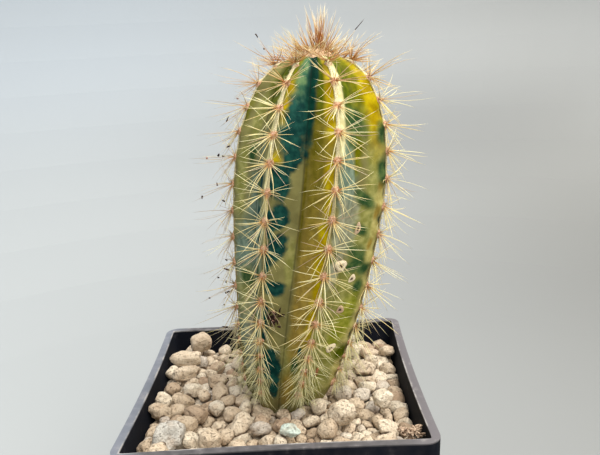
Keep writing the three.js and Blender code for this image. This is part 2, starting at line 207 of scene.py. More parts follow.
class Wire:
    """One output of a shader node. Arithmetic adds Math nodes, and node() adds any other kind."""

    def __init__(self, tree, socket=None):
        self.tree = tree
        self.socket = socket

    def node(self, kind, settings=None, inputs=None, output=0):
        made = self.tree.nodes.new("ShaderNode" + kind)
        settings = dict(settings or {})
        for place, (position, colour) in enumerate(settings.pop("stops", [])):
            ramp = made.color_ramp.elements
            stop = ramp[place] if place < 2 else ramp.new(position)
            stop.position = position
            stop.color = (*colour, 1)
        for name, value in settings.items():
            setattr(made, name, value)
        for name, value in (inputs or {}).items():
            if isinstance(value, Wire):
                self.tree.links.new(value.socket, made.inputs[name])
            elif isinstance(value, tuple) and made.inputs[name].type == "RGBA":
                made.inputs[name].default_value = (*value, 1)
            else:
                made.inputs[name].default_value = value
        return Wire(self.tree, made.outputs[output])

    def math(self, operation, *values):
        return self.node("Math", {"operation": operation}, dict(enumerate(values)))

    def __add__(self, other):
        return self.math("ADD", self, other)

    def __sub__(self, other):
        return self.math("SUBTRACT", self, other)

    def __rsub__(self, other):
        return self.math("SUBTRACT", other, self)

    def __mul__(self, other):
        return self.math("MULTIPLY", self, other)

    __radd__ = __add__
    __rmul__ = __mul__

    def step(self, low, high):
        """This value as a mask that rises smoothly from 0 at low to 1 at high."""
        smooth = {"interpolation_type": "SMOOTHSTEP"}
        return self.node("MapRange", smooth, {"Value": self, "From Min": low, "From Max": high})

    def mix(self, plain, full):
        """A colour that goes from plain to full as this mask goes from 0 to 1."""
        return self.node("Mix", {"data_type": "RGBA"}, {0: self, 6: plain, 7: full}, output=2)

    def scale(self, amount):
        """This colour made darker or lighter by an amount."""
        return self.node("VectorMath", {"operation": "SCALE"}, {0: self, "Scale": amount})

    def noise(self, size, detail):
        """Noise in the object's own coordinates, with features of about this size in metres."""
        place = self.node("TexCoord", output="Object")
        inputs = {"Vector": place, "Scale": 1 / size, "Detail": detail}
        return self.node("TexNoise", None, inputs, "Fac")

    def attribute(self, name):
        return self.node("Attribute", {"attribute_name": name}, output="Fac")

    def place(self, axis):
        """The object's own X, Y or Z coordinate, in metres."""
        where = self.node("TexCoord", output="Object")
        return self.node("SeparateXYZ", None, {0: where}, output=axis)


def new_finish(name, **fixed):
    """A material whose shader has these fixed values, and a Wire to build its nodes on."""
    material = bpy.data.materials.new(name)
    material.use_nodes = True
    shader = material.node_tree.nodes["Principled BSDF"]
    for socket, value in fixed.items():
        shader.inputs[socket.replace("_", " ")].default_value = value
    return material, Wire(material.node_tree)


def feed(material, colour, roughness=None, height=None, depth=0.1 * MM):
    """Links colour, roughness and a bump of this depth to a material's shader."""
    links = material.node_tree.links
    shader = material.node_tree.nodes["Principled BSDF"]
    links.new(colour.socket, shader.inputs["Base Color"])
    if roughness:
        links.new(roughness.socket, shader.inputs["Roughness"])
    if height:
        sockets = {"Strength": 1, "Distance": depth, "Height": height}
        links.new(height.node("Bump", None, sockets).socket, shader.inputs["Normal"])


def dress(piece, material, slot, *nodes):
    """Gives a finished piece its material and body, and hides the CAD nodes that it stands for. Its
    slot is not used.
    """
    piece.data.materials.clear()
    piece.data.materials.append(material)
    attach(piece, "root")
    if nodes:
        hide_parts(*nodes)


black_plastic, wire = new_finish("black_plastic", Specular_IOR_Level=0.12)
grain = wire.noise(0.5 * MM, 3)
streaks = wire.noise(14 * MM, 4)
dust = wire.noise(2.6 * MM, 6)
across, along = wire.place("X"), wire.place("Y")
across, along = across.math("ABSOLUTE", across), along.math("ABSOLUTE", along)
reach = across.math("MAXIMUM", across, along)
share = across.math("MINIMUM", across, along) * (1 / LIP_HALF)
inner_edge = LIP_HALF - RIM_WIDTH + 0.1 * MM
from_edge = reach + SIDE_BOW * (1 - share * share) - inner_edge
rim = wire.place("Z").step(POT_HEIGHT - 0.5 * MM, POT_HEIGHT - 0.1 * MM)
lip_face = from_edge.step(RIM_WIDTH - 0.9 * MM, RIM_WIDTH - 0.5 * MM)
bare = streaks.step(0.3, 0.7).mix((0.002, 0.003, 0.0065), (0.005, 0.0065, 0.012))
dusty = (lip_face * dust.step(0.3, 0.75) * 0.4).mix(bare, (0.026, 0.022, 0.025))
# Painted sheen, partly wear: the rim's top is painted lighter than the body, with a painted bluish
# reflection of the backdrop on its left side and more painted sheen on its right side
rim_sheen_and_wear = dust.step(0.2, 0.8).mix((0.075, 0.07, 0.072), (0.13, 0.12, 0.122))
left_rim_reflection = dust.step(0.2, 0.8).mix((0.15, 0.165, 0.195), (0.2, 0.21, 0.24))
right_rim_sheen = wire.place("X").step(0.7 * LIP_HALF, LIP_HALF).mix(rim_sheen_and_wear, (0.145, 0.133, 0.139))
rim_top_sheen_and_wear = wire.place("X").step(-0.75 * LIP_HALF, -LIP_HALF).mix(right_rim_sheen, left_rim_reflection)
# worn is the rim's top, with its painted sheen and wear, laid over the dusty body
worn = (rim * (0.8 + 0.2 * streaks)).mix(dusty, rim_top_sheen_and_wear)
# A painted highlight, partly wear, runs along the inner edge of the rim's top
edge = rim * (1 - from_edge.step(0.0, 0.5 * MM)) * wire.noise(5 * MM, 5).step(0.42, 0.62)
edge_highlight_and_wear = (0.75 * edge).mix(worn, (0.42, 0.4, 0.38))
scuffs = (dust + 0.3 * wire.noise(0.4 * MM, 4)).step(0.74, 0.9)
coat = (scuffs * (0.05 + 0.3 * rim)).mix(edge_highlight_and_wear, (0.3, 0.28, 0.27))
feed(black_plastic, coat, 0.72 + 0.12 * grain - 0.3 * rim, grain, 0.02 * MM)
dress(pot, black_plastic, "black_plastic", "pot")

# The potting mix: a moist dark mix of peat, grit and bark that fills the pot under the pumice. It is
# seen only in the gaps between the stones and through the drainage holes, so the CAD block stays.
soil, wire = new_finish("potting_mix")
CRUMB_SIZE = 1.6 * MM
where = wire.node("TexCoord", output="Object")
crumb = wire.node("TexVoronoi", None, {"Vector": where, "Scale": 1 / CRUMB_SIZE})
lumps = wire.noise(2.5 * MM, 6)
earth = lumps.step(0.35, 0.65).mix((0.02, 0.012, 0.007), (0.085, 0.05, 0.028))
flecks = wire.noise(0.9 * MM, 3).step(0.66, 0.72)
gritty = flecks.mix(earth, (0.3, 0.22, 0.13))
feed(soil, gritty, 0.85 + 0.1 * lumps, lumps - 0.8 * crumb, 0.8 * MM)
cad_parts["potting_mix"].material_slots[0].material = soil

# The stem: one ribbed column with seven ribs, leaning to the right, with a waxy skin marbled in
# olive, yellow and dark blue-green. Its foot narrows into the mix. Heights are over the pumice.
PUMICE_TOP = 68 * MM
STEM_HEIGHT = 95 * MM
PROFILE = MM * np.array(
    [
        (3.2, -17),
        (7.2, -8),
        (11.6, 0),
        (14.4, 9),
        (18.2, 30),
        (20.6, 55),
        (20.3, 69),
        (18.4, 79),
        (14.2, 88),
        (8.2, 93),
        (0, 95),
    ]
)
LEAN_START = 2.6 * MM
LEAN = 19.2 * MM
LEAN_EASE = 7.1 * MM
RIBS = 7
FRONT_RIB = math.radians(19)
RIB_SHIFTS = np.radians([-3.5, 0, 2, -2, 1.5, 0, 0])
TWIST = math.radians(10)
TWIST_CENTRE = 0.6
# Share of the way from crest to groove, and how much of the rib still stands there
RIB_SECTION = np.array([(0, 1), (0.1, 0.985), (0.3, 0.74), (0.55, 0.46), (0.8, 0.2), (1, 0)])
GROOVE_SHARE = 0.78
# The grooves drift to one side below the upper of these heights, by this share of a turn
GROOVE_DRIFT = 0.055
DRIFT_HEIGHTS = (30 * MM, 55 * MM)
RIB_COLUMNS = 24
STEM_ROWS = 200
# How far the skin swells at an areole, and how far round, as a share of the way to the groove
AREOLE_SWELL = 0.3 * MM
SWELL_SHARE = 0.3
SKIN_WAVE = 0.35 * MM
# Waves per metre, the long ones and the short ones, and the depth of the short ones
WAVE_RATES = (70, 260)
SHORT_WAVES = 0.4
# The skin is smoother where the stem is thinner than this
FULL_RADIUS = 8 * MM


def smooth_line(points, steps=60):
    """A curve through the points, as many close points."""
    ends = np.vstack([points[0], points, points[-1]])
    share = np.linspace(0, 1, steps, endpoint=False)[:, None]
    parts = []
    for before, start, end, after in zip(ends, ends[1:], ends[2:], ends[3:]):
        lead, trail = (end - before) / 2, (after - start) / 2
        cubic = (2 * start - 2 * end + lead + trail) * share**3
        square = (-3 * start + 3 * end - 2 * lead - trail) * share**2
        parts.append(cubic + square + lead * share + start)
    return np.vstack([*parts, points[-1:]])


skin_line = smooth_line(PROFILE)[::-1]
skin_steps = np.hypot(*np.diff(skin_line, axis=0).T)
skin_distance = np.concatenate([[0], np.cumsum(skin_steps)])
section_line = smooth_line(RIB_SECTION)


def profile_at(distance):
    """Crest radius and height over the pumice, at a distance down the skin from the apex."""
    radius = np.interp(distance, skin_distance, skin_line[:, 0])
    return radius, np.interp(distance, skin_distance, skin_line[:, 1])


def radius_at(height):
    return np.interp(height, skin_line[::-1, 1], skin_line[::-1, 0])


def axis_x(height):
    share = np.asarray(height) / STEM_HEIGHT
    return LEAN_START + LEAN * share - LEAN_EASE * share**2


# Turns count ribs round the stem: a whole number is a crest and a half is a groove
turn_marks = np.arange(-1.5, RIBS + 1, 0.5)
crest_marks = [
    FRONT_RIB + rib * 2 * math.pi / RIBS + RIB_SHIFTS[rib % RIBS] for rib in range(-2, RIBS + 2)
]
angle_marks = np.interp(turn_marks, np.arange(-2, RIBS + 2), crest_marks)


def twist_at(height):
    return TWIST * (np.asarray(height) / STEM_HEIGHT - TWIST_CENTRE)


def stem_points(turn, height, radius):
    """Points of the stem in the part's frame, at a turn, a height and a radius from the axis."""
    angle = np.interp(turn, turn_marks, angle_marks) + twist_at(height)
    x = axis_x(height) + np.sin(angle) * radius
    return np.stack([x, -np.cos(angle) * radius, PUMICE_TOP + height], axis=-1)


def turn_of(points):
    """The turn and height at which points of the stem lie."""
    height = points[:, 2] - PUMICE_TOP
    off = points[:, 0] - axis_x(height)
    angle = np.arctan2(off, -points[:, 1]) - twist_at(height)
    angle = (angle - angle_marks[2]) % (2 * math.pi) + angle_marks[2]
    return np.interp(angle, angle_marks, turn_marks), height


FIRST_AREOLE = 10.2 * MM
LAST_AREOLE_HEIGHT = 3 * MM
AREOLE_PITCH = (3.6 * MM, 7.4 * MM)
SPREAD_HEIGHTS = (5 * MM, 48 * MM)
CROWDING = 1 * MM
CROWDING_HEIGHTS = (60 * MM, 90 * MM)


def smooth_share(value, low, high):
    """0 at low and 1 at high, with a smooth rise between them."""
    share = min(max((value - low) / (high - low), 0), 1)
    return share * share * (3 - 2 * share)


def areole_distances():
    """Where the areoles of each rib stand, as distances down the crest from the apex."""
    distances = []
    distance = FIRST_AREOLE
    while profile_at(distance)[1] > LAST_AREOLE_HEIGHT:
        distances.append(distance)
        height = profile_at(distance)[1]
        spread = smooth_share(height, *SPREAD_HEIGHTS)
        distance += AREOLE_PITCH[0] + (AREOLE_PITCH[1] - AREOLE_PITCH[0]) * spread
        distance -= CROWDING * smooth_share(height, *CROWDING_HEIGHTS)
    return np.array(distances)


areoles = areole_distances()


def near_areole(distance):
    """1 at an areole's own place on the crest, and -1 midway between two."""
    count = np.interp(distance, areoles, np.arange(len(areoles)), left=-0.5)
    return np.cos(2 * math.pi * count)


def wrapped_grid(name, columns, rows, place):
    """A grid whose every point is moved to place(column share, row share), with its seams merged."""
    deselect()
    bpy.ops.mesh.primitive_grid_add(x_subdivisions=columns, y_subdivisions=rows, size=2)
    piece = bpy.context.object
    piece.name = name
    flat = np.empty(len(piece.data.vertices) * 3, np.float32)
    piece.data.vertices.foreach_get("co", flat)
    share = (flat.reshape(-1, 3)[:, :2].astype(float) + 1) / 2
    piece.data.vertices.foreach_set("co", place(*share.T).astype(np.float32).ravel())
    edit_whole()
    bpy.ops.mesh.remove_doubles(threshold=0.001 * MM)
    bpy.ops.mesh.normals_make_consistent(inside=False)
    bpy.ops.object.mode_set(mode="OBJECT")
    bpy.ops.object.shade_smooth()
    return piece


def groove_drift(height):
    return np.interp(height, DRIFT_HEIGHTS, (GROOVE_DRIFT, 0))


def section_share(turn):
    """Share of the crest radius that the skin stands at."""
    off_crest = 2 * np.abs(turn - np.round(turn))
    stands = np.interp(off_crest, section_line[:, 0], section_line[:, 1])
    return GROOVE_SHARE + (1 - GROOVE_SHARE) * stands


def skin_place(column, row):
    """The skin: columns run round the ribs and rows up from the foot to the apex."""
    turn = -0.5 + column * RIBS
    distance = (1 - row) * skin_distance[-1]
    radius, height = profile_at(distance)
    off_crest = 2 * np.abs(turn - np.round(turn))
    share = section_share(turn)
    swell = AREOLE_SWELL * near_areole(distance) * np.exp(-((off_crest / SWELL_SHARE) ** 2))
    full = np.clip(radius / FULL_RADIUS, 0, 1)
    points = stem_points(np.where(turn > RIBS - 0.75, turn - RIBS, turn), height, radius)
    long, short = ([noise.noise(Vector(p) * rate) for p in points] for rate in WAVE_RATES)
    wave = np.array(long) + SHORT_WAVES * np.array(short)
    bulge = (swell + SKIN_WAVE * wave * np.clip(off_crest, 0.25, 1)) * full
    return stem_points(turn - off_crest * groove_drift(height), height, radius * share + bulge)


stem = wrapped_grid("cactus_stem", RIBS * RIB_COLUMNS, STEM_ROWS, skin_place)

# The marbling, lowest layer first; some layers are painted light and shade. Each layer has how ragged
# and how soft its borders are, its dark and light tones, and its patches: turn, height, half width in
# turns, half height and, where a patch lies aslant, its rise over one turn. Heights are in mm
SKIN_LAYERS = {
    "sage": [
        (0.6, 0.5, (0.13, 0.19, 0.14), (0.225, 0.29, 0.215)),
        (5.3, 42, 0.25, 11),
        (5.62, 50, 0.3, 22),
        (5.5, 22, 0.45, 16),
        (7.22, 63, 0.17, 15),
        (7.36, 61, 0.17, 8),
    ],
    "olive": [
        (0.6, 0.5, (0.22, 0.22, 0.053), (0.335, 0.32, 0.106)),
        (7.8, 60, 0.12, 13),
        (7.72, 47, 0.22, 12),
        (7.55, 34, 0.32, 9),
        (7.35, 20, 0.5, 15),
        (7.76, 25, 0.24, 9),
        (7.7, 13, 0.26, 8),
        (7.4, 4, 0.6, 12),
        (6.68, 13, 0.24, 9),
        (6.4, 42, 0.08, 6),
        (5.36, 80, 0.1, 6),
        (5.18, 64, 0.1, 10),
        (5.4, 30, 0.3, 8),
    ],
    "mist": [
        (0.6, 0.5, (0.25, 0.25, 0.165), (0.35, 0.355, 0.24)),
        (7.22, 50, 0.16, 9),
        (7.42, 50, 0.18, 8),
        (7.2, 41, 0.14, 5),
        (5.5, 18, 0.3, 15),
    ],
    # Painted light: the skin along the right-hand rib's edge is made lighter, as lit from the right
    "painted_right_edge_light": [
        (0.35, 0.5, (0.38, 0.33, 0.1), (0.52, 0.46, 0.17)),
        (7.91, 56, 0.07, 6),
        (7.91, 49, 0.06, 4),
        (7.9, 43, 0.07, 5),
        (7.93, 28, 0.06, 7),
        (7.86, 20, 0.12, 4),
        (7.9, 9, 0.08, 5),
    ],
    "grass": [
        (0.5, 0.5, (0.19, 0.21, 0.016), (0.31, 0.31, 0.045)),
        (7.72, 24, 0.15, 7),
        (7.62, 19, 0.12, 5),
        (7.8, 29, 0.08, 4),
    ],
    "bronze": [
        (0.35, 0.5, (0.26, 0.18, 0.035), (0.35, 0.245, 0.045)),
        (6.72, 40, 0.2, 34),
        (6.66, 5, 0.16, 7),
        (7.89, 53.5, 0.04, 2),
        (7.87, 45, 0.04, 1.6),
        (7.9, 60.5, 0.04, 2),
    ],
    # Olive-brown skin beside the groove left of the front rib, partly painted shade where it nears the
    # groove
    "umber": [
        (0.3, 0.7, (0.12, 0.1, 0.006), (0.18, 0.14, 0.016)),
        (6.7, 76, 0.16, 24),
        (6.54, 60, 0.04, 18),
    ],
    "moss": [
        (0.5, 0.5, (0.052, 0.076, 0.001), (0.115, 0.135, 0.004)),
        (7.34, 88, 0.24, 16),
        (6.74, 90, 0.1, 10),
        (7.86, 14, 0.14, 2.2),
        (7.1, 44.5, 0.12, 1.8),
        (5.7, 88, 0.3, 8),
        (5.6, 26, 0.2, 3),
        (5.7, 12, 0.2, 4),
    ],
    "lime": [
        (0.5, 0.5, (0.108, 0.113, 0.0), (0.175, 0.172, 0.002)),
        (7.7, 89, 0.2, 14),
        (7.5, 72, 0.1, 8),
        (6.13, 91, 0.12, 5),
    ],
    "yellow": [
        (0.3, 0.6, (0.34, 0.23, 0.0), (0.48, 0.37, 0.002)),
        (6.9, 82, 0.09, 13),
        (6.91, 66, 0.07, 6),
        (6.94, 58, 0.06, 4),
        (6.92, 50.5, 0.08, 4.5),
        (6.91, 43.5, 0.09, 5),
        (6.94, 36, 0.07, 5),
        (6.92, 27, 0.08, 7),
        (7.85, 82, 0.14, 12),
        (6.12, 86.5, 0.06, 1.8),
        (6.11, 82, 0.07, 3.2),
        (6.06, 69, 0.09, 2.8),
    ],
    # Painted highlight and glow: pale cream stripes beside the crests
    "cream": [
        (0.2, 0.4, (0.6, 0.54, 0.26), (0.78, 0.74, 0.44)),
        (7.09, 89, 0.075, 14),
        (7.07, 76, 0.06, 7),
        (5.96, 74, 0.04, 22),
    ],
    "jade": [
        (0.6, 0.5, (0.023, 0.065, 0.021), (0.085, 0.132, 0.04)),
        (7.42, 77.6, 0.24, 3.6, -8),
        (7.37, 72.8, 0.14, 2.2),
        (7.92, 73.5, 0.1, 3),
        (7.93, 64.5, 0.09, 3.6),
        (7.68, 57.4, 0.16, 1.9, -15),
        (7.68, 49.2, 0.12, 1.6, -10),
        (7.69, 42, 0.17, 3.2, -14),
        (7.64, 39.5, 0.14, 1.8),
        (7.8, 33.5, 0.08, 1.6),
        (7.84, 38.5, 0.1, 1.8),
        (5.72, 62, 0.14, 4),
        (5.36, 70, 0.06, 2.4),
        (5.8, 40, 0.09, 2.6),
        (5.3, 36, 0.16, 2),
        (6.76, 13, 0.1, 2.6),
    ],
    "teal": [
        (0.6, 0.26, (0.002, 0.031, 0.028), (0.013, 0.073, 0.056)),
        (6.5, 86, 0.15, 15),
        (6.28, 77.5, 0.19, 8.5),
        (6.3, 70, 0.13, 3.4),
        (6.14, 64.5, 0.17, 4.6, -8),
        (6.14, 55.2, 0.16, 3.8),
        (6.07, 52, 0.06, 3),
        (6.15, 47.6, 0.17, 4, 8),
        (6.03, 42, 0.04, 3),
        (6.18, 36.3, 0.2, 2.1, -6),
        (6.05, 31, 0.05, 2),
        (6.05, 25, 0.05, 5),
        (6.18, 12.5, 0.22, 5.4, -6),
        (6.3, 6, 0.1, 4),
        (6.82, 17.5, 0.04, 1.4),
        (5.8, 64, 0.06, 2),
        (5.76, 56, 0.09, 2),
        (5.84, 48, 0.07, 2),
        (5.78, 33, 0.08, 2),
        (5.78, 20, 0.1, 2.6),
    ],
    "emerald": [
        (0.5, 0.6, (0.03, 0.11, 0.06), (0.12, 0.2, 0.08)),
        (6.3, 91.5, 0.13, 6),
    ],
    # Painted shade: dark blue-green deep in and beside the groove left of the front rib, near the top
    "shade": [
        (0.2, 0.6, (0.001, 0.026, 0.017), (0.003, 0.043, 0.028)),
        (6.54, 87.5, 0.11, 12),
        (6.66, 92, 0.06, 5),
    ],
}
BACK_TURNS = (1.1, 4.9)
# How many patches each layer has on the ribs at the back, with the ranges of their half sizes
BACK_PATCHES = {
    "sage": (14, (0.12, 0.3), (8, 16)),
    "olive": (10, (0.15, 0.3), (8, 18)),
    "bronze": (14, (0.08, 0.16), (8, 20)),
    "moss": (26, (0.1, 0.22), (2.5, 6)),
    "lime": (12, (0.1, 0.25), (4, 9)),
    "yellow": (14, (0.07, 0.16), (6, 14)),
    "teal": (58, (0.06, 0.2), (2, 5)),
}
mottle = np.random.default_rng(5)
for name, (count, half_widths, half_heights) in BACK_PATCHES.items():
    for _ in range(count):
        spot = (mottle.uniform(*BACK_TURNS), mottle.uniform(2, 90))
        sizes = (mottle.uniform(*half_widths), mottle.uniform(*half_heights))
        SKIN_LAYERS[name].append((*spot, *sizes, mottle.uniform(-10, 10)))


def patch_field(patches, turn, height):
    """1 at the middle of the nearest patch, 0 at its edge and less outside it."""
    field = np.full(len(turn), -1.0)
    for centre, middle, half_width, half_height, *slant in patches:
        off = (turn - centre + RIBS / 2) % RIBS - RIBS / 2
        rise = height / MM - middle - sum(slant) * off
        field = np.maximum(field, 1 - np.hypot(off / half_width, rise / half_height))
    return field


def set_values(piece, name, values):
    """Stores one number for each vertex of a piece, for its material to read."""
    stored = piece.data.attributes.new(name, "FLOAT", "POINT")
    stored.data.foreach_set("value", np.asarray(values, np.float32))


def vertex_places(piece):
    flat = np.empty(len(piece.data.vertices) * 3, np.float32)
    piece.data.vertices.foreach_get("co", flat)
    return flat.reshape(-1, 3).astype(float)


turn, height = turn_of(vertex_places(stem))
off_groove = np.abs((turn + groove_drift(height)) % 1 - 0.5)
# The groove to the right of the front rib is shallow and gets none of the painted shade of the grooves
set_values(stem, "off_groove", off_groove + 0.1 * (np.abs(turn - 0.5) < 0.5))

skin, wire = new_finish("variegated_skin", Specular_IOR_Level=0.05)
ragged = (wire.noise(3.6 * MM, 3) - 0.5) * 2.4 + (wire.noise(1.1 * MM, 3) - 0.5) * 0.4
cloud = wire.noise(8 * MM, 4)
veins = wire.noise(2.2 * MM, 5)
layered_skin = cloud.step(0.35, 0.65).mix((0.17, 0.155, 0.055), (0.24, 0.22, 0.08))
for name, ((wobble, soft, dark, light), *patches) in SKIN_LAYERS.items():
    set_values(stem, name, patch_field(patches, turn, height))
    mask = (wire.attribute(name) + wobble * ragged).step(-soft, soft)
    layered_skin = mask.mix(layered_skin, veins.step(0.35, 0.7).mix(dark, light))
veined = layered_skin.scale(0.8 + 0.4 * veins)
off_groove = wire.attribute("off_groove")
# Painted shade in the grooves: a thin dark line down each, and a wide soft darkening towards it
line = 0.32 * (1 - off_groove.step(0.004, 0.03)) + 0.14 * (1 - off_groove.step(0.0, 0.24))
crease_shaded = veined.scale(1 - line)
foot = 1 - wire.place("Z").step(PUMICE_TOP - 1 * MM, PUMICE_TOP + 6 * MM)
earthy = (foot * wire.noise(1.2 * MM, 4).step(0.4, 0.6) * 0.5).mix(crease_shaded, (0.2, 0.15, 0.06))
pores = wire.noise(0.45 * MM, 3)
feed(skin, earthy, 0.46 + 0.1 * cloud + 0.06 * pores, pores + 0.6 * ragged, 0.05 * MM)
dress(stem, skin, "variegated_skin", "stem")

# The pumice: loose broken stones of 2 to 6 mm, and a few up to 10 mm, with worn corners, poured on
# the mix round the stem. They are settled as balls by gravity and then given their own blocky
# shapes, so that each lies on others. A scrap of bark lies with them in the front corner.
STONES = 500
STONE_RADIUS = (1.1 * MM, 3.1 * MM)
LARGE_STONE = 2.55 * MM
SLAB_DISH = 0.35
LARGE_SHAPES = 13
SMALL_SHAPES = 20
# A stone's bumps and dents: their depths as shares of its radius, and how fine they are
DENTS = ((0.09, 1.9), (0.07, 4.3), (0.035, 9))
BED = 62.2 * MM
WALL_GAP = 0.2 * MM
# How near another stone or the stem a stone's painted shade begins
SHADE_REACH = 0.9 * MM
SETTLE_STEPS = 330
PUSHES_PER_STEP = 3
# How far the stones fall in a step at first, and the share of that which they lose by the last one
FALL = 0.4 * MM
SLOWING = 0.8
# Stones may touch at this share of the sum of their radii, and part by this share of what they lack
TOUCHING = 0.98
PUSH = 0.28
# They keep off this share of the crest radius, because they also lie in the grooves
STEM_SHARE = 0.9
# Stones that show: middle and half sizes in mm, turn round Z and lean towards the front in degrees,
# and tone
MARKED_STONES = [
    ((-27.6, -27.2, 69.4), (4.5, 4.2, 2.3), 8, 58, 1.2),
    ((3.2, -26.2, 69.0), (2.8, 1.9, 1.5), -12, 15, 1.35),
    ((17.3, -19.3, 69.6), (3.8, 3.1, 3.1), 30, 10, 0.62),
    ((28.6, -12.8, 69.6), (2.9, 2.8, 2.6), 0, 0, 0.8),
    ((-27.2, 30.0, 70.6), (3.5, 3.1, 3.0), 20, 0, 0.35),
    ((-30.6, 20.5, 69.2), (5.2, 2.8, 2.4), 5, 5, 0.55),
    ((-29.3, 11.0, 69.0), (4.5, 2.7, 2.0), 18, 12, 0.5),
    ((-24.5, -20.6, 69.3), (3.2, 2.4, 2.0), -20, 20, 0.12),
    ((-17.0, -29.0, 69.2), (3.0, 2.6, 2.2), 40, 10, 0.3),
    ((21.5, 21.0, 69.4), (3.7, 2.6, 2.2), -10, 0, 0.72),
]
BARK_PLACE = (34.0 * MM, -30.2 * MM, 69.3 * MM)
BARK_FLAKES = 64
stones_random = np.random.default_rng(19)


def settled_stones():
    """Centres and radii of the stones once they have come to rest, the marked ones first."""
    marked = len(MARKED_STONES)
    count = STONES + marked
    share = stones_random.beta(1.5, 2.4, count)
    radius = STONE_RADIUS[0] + (STONE_RADIUS[1] - STONE_RADIUS[0]) * share
    inner = LIP_HALF - RIM_WIDTH
    place = stones_random.uniform(-1, 1, (count, 3)) * (inner - 4 * MM)
    place[:, 2] = BED + 3 * MM + stones_random.uniform(0, 20 * MM, count)
    for index, (middle, half_sizes, *_) in enumerate(MARKED_STONES):
        radius[index] = np.prod(half_sizes) ** (1 / 3) * MM
        place[index] = np.array(middle) * MM
    fixed = place[:marked].copy()
    for step in range(SETTLE_STEPS):
        place[:, 2] -= FALL * (1 - SLOWING * step / SETTLE_STEPS)
        for _ in range(PUSHES_PER_STEP):
            apart = place[:, None] - place[None]
            distance = np.sqrt((apart**2).sum(-1)) + np.eye(count)
            overlap = (radius[:, None] + radius[None]) * TOUCHING - distance
            push = np.clip(overlap, 0, None) / distance
            np.fill_diagonal(push, 0)
            place += PUSH * (apart * push[..., None]).sum(1)
            height = place[:, 2] - PUMICE_TOP
            off = place[:, :2] - np.stack([axis_x(height), 0 * height], -1)
            away = np.hypot(*off.T)
            short = np.clip(radius_at(height) * STEM_SHARE + radius - away, 0, None)
            place[:, :2] += off * (short / away)[:, None]
            for axis, other in ((0, 1), (1, 0)):
                bow = SIDE_BOW * (1 - (place[:, other] / inner) ** 2)
                limit = wall_half(place[:, 2]) - WALL - WALL_GAP - bow - radius
                place[:, axis] = np.clip(place[:, axis], -limit, limit)
            place[:, 2] = np.maximum(place[:, 2], BED + radius)
            place[:marked] = fixed
    return place, radius


def take_shape(piece):
    """A piece's points and faces as arrays. The piece itself is removed."""
    points = vertex_places(piece)
    corners = np.array([tuple(face.vertices) for face in piece.data.polygons])
    bpy.data.objects.remove(piece)
    return points, corners


def unit(rows):
    """Vectors in rows, each made 1 long."""
    return rows / np.linalg.norm(rows, axis=1)[:, None]


def stone_shape(detail, chips=8, crisp=14):
    """One broken stone: a ball cut to a rough block with chipped corners and dents."""
    deselect()
    bpy.ops.mesh.primitive_ico_sphere_add(subdivisions=detail, radius=1)
    way, corners = take_shape(bpy.context.object)
    sides = np.vstack([np.eye(3), -np.eye(3)]) + stones_random.normal(0, 0.25, (6, 3))
    flats = unit(np.vstack([sides, stones_random.normal(size=(chips, 3))]))
    reach = np.append(stones_random.uniform(0.74, 0.88, 6), stones_random.uniform(0.84, 1, chips))
    toward = np.clip(way @ flats.T, 0.05, None) / reach
    radius = (1.08**-crisp + (toward**crisp).sum(1)) ** (-1 / crisp)
    seed = Vector(stones_random.uniform(-50, 50, 3))
    dents = [
        sum(depth * noise.noise(Vector(p) * rate + seed) for depth, rate in DENTS) for p in way
    ]
    sizes = stones_random.uniform((1.0, 0.85, 0.68), (1.35, 1.05, 0.92))
    shape = way * (radius + np.array(dents))[:, None] * sizes
    return shape / np.prod(np.ptp(shape, axis=0) / 2) ** (1 / 3), corners


def turned(turn, lean, roll):
    """Rotation that rolls a shape, leans its top towards -Y and turns it round Z."""
    return np.array(
        Matrix.Rotation(turn, 3, "Z") @ Matrix.Rotation(lean, 3, "X") @ Matrix.Rotation(roll, 3, "Y")
    )


def mesh_piece(name, points, faces):
    """A smooth-shaded piece from many copies of a shape, as points and faces."""
    mesh = bpy.data.meshes.new(name)
    mesh.from_pydata(points.reshape(-1, 3).tolist(), [], faces.tolist())
    mesh.shade_smooth()
    piece = bpy.data.objects.new(name, mesh)
    bpy.context.scene.collection.objects.link(piece)
    return piece


def joined(name, parts):
    """One piece from parts, each with its points, its faces and the named values of its points."""
    starts = np.cumsum([0] + [len(points) for points, _, _ in parts])
    faces = [corners + start for (_, corners, _), start in zip(parts, starts)]
    points = [points for points, _, _ in parts]
    piece = mesh_piece(name, np.concatenate(points), np.concatenate(faces))
    for kind in parts[0][2]:
        set_values(piece, kind, np.concatenate([values[kind] for _, _, values in parts]))
    return piece


def stone_pile(name, shapes, chosen):
    """The chosen stones as one piece, each with its own shape and tone and painted shade where it nears
    others.
    """
    parts = []
    for number, index in enumerate(chosen):
        shape, corners = shapes[number % len(shapes)]
        if index < len(MARKED_STONES):
            _, half_sizes, turn, lean, tone = MARKED_STONES[index]
            half = np.array(half_sizes) * MM
            shape = shape / (np.ptp(shape, axis=0) / 2) * half
            turns = turned(math.radians(turn), math.radians(lean), 0)
        else:
            shape = shape * radii[index]
            turns = turned(*stones_random.uniform((-3.14, -0.6, -0.6), (3.14, 0.6, 0.6)))
            tone = stones_random.uniform(0, 1)
        spots = shape @ turns.T + places[index]
        others = np.arange(len(places)) != index
        clear = np.linalg.norm(spots[:, None] - places[others], axis=2) - radii[others]
        height = spots[:, 2] - PUMICE_TOP
        from_axis = np.hypot(spots[:, 0] - axis_x(height), spots[:, 1])
        from_stem = from_axis - STEM_SHARE * radius_at(height)
        gap_shade = np.clip(1 - np.minimum(clear.min(1), from_stem) / SHADE_REACH, 0, 1)
        parts.append((spots, corners, {"tone": np.full(len(spots), tone), "gap_shade": gap_shade}))
    return joined(name, parts)


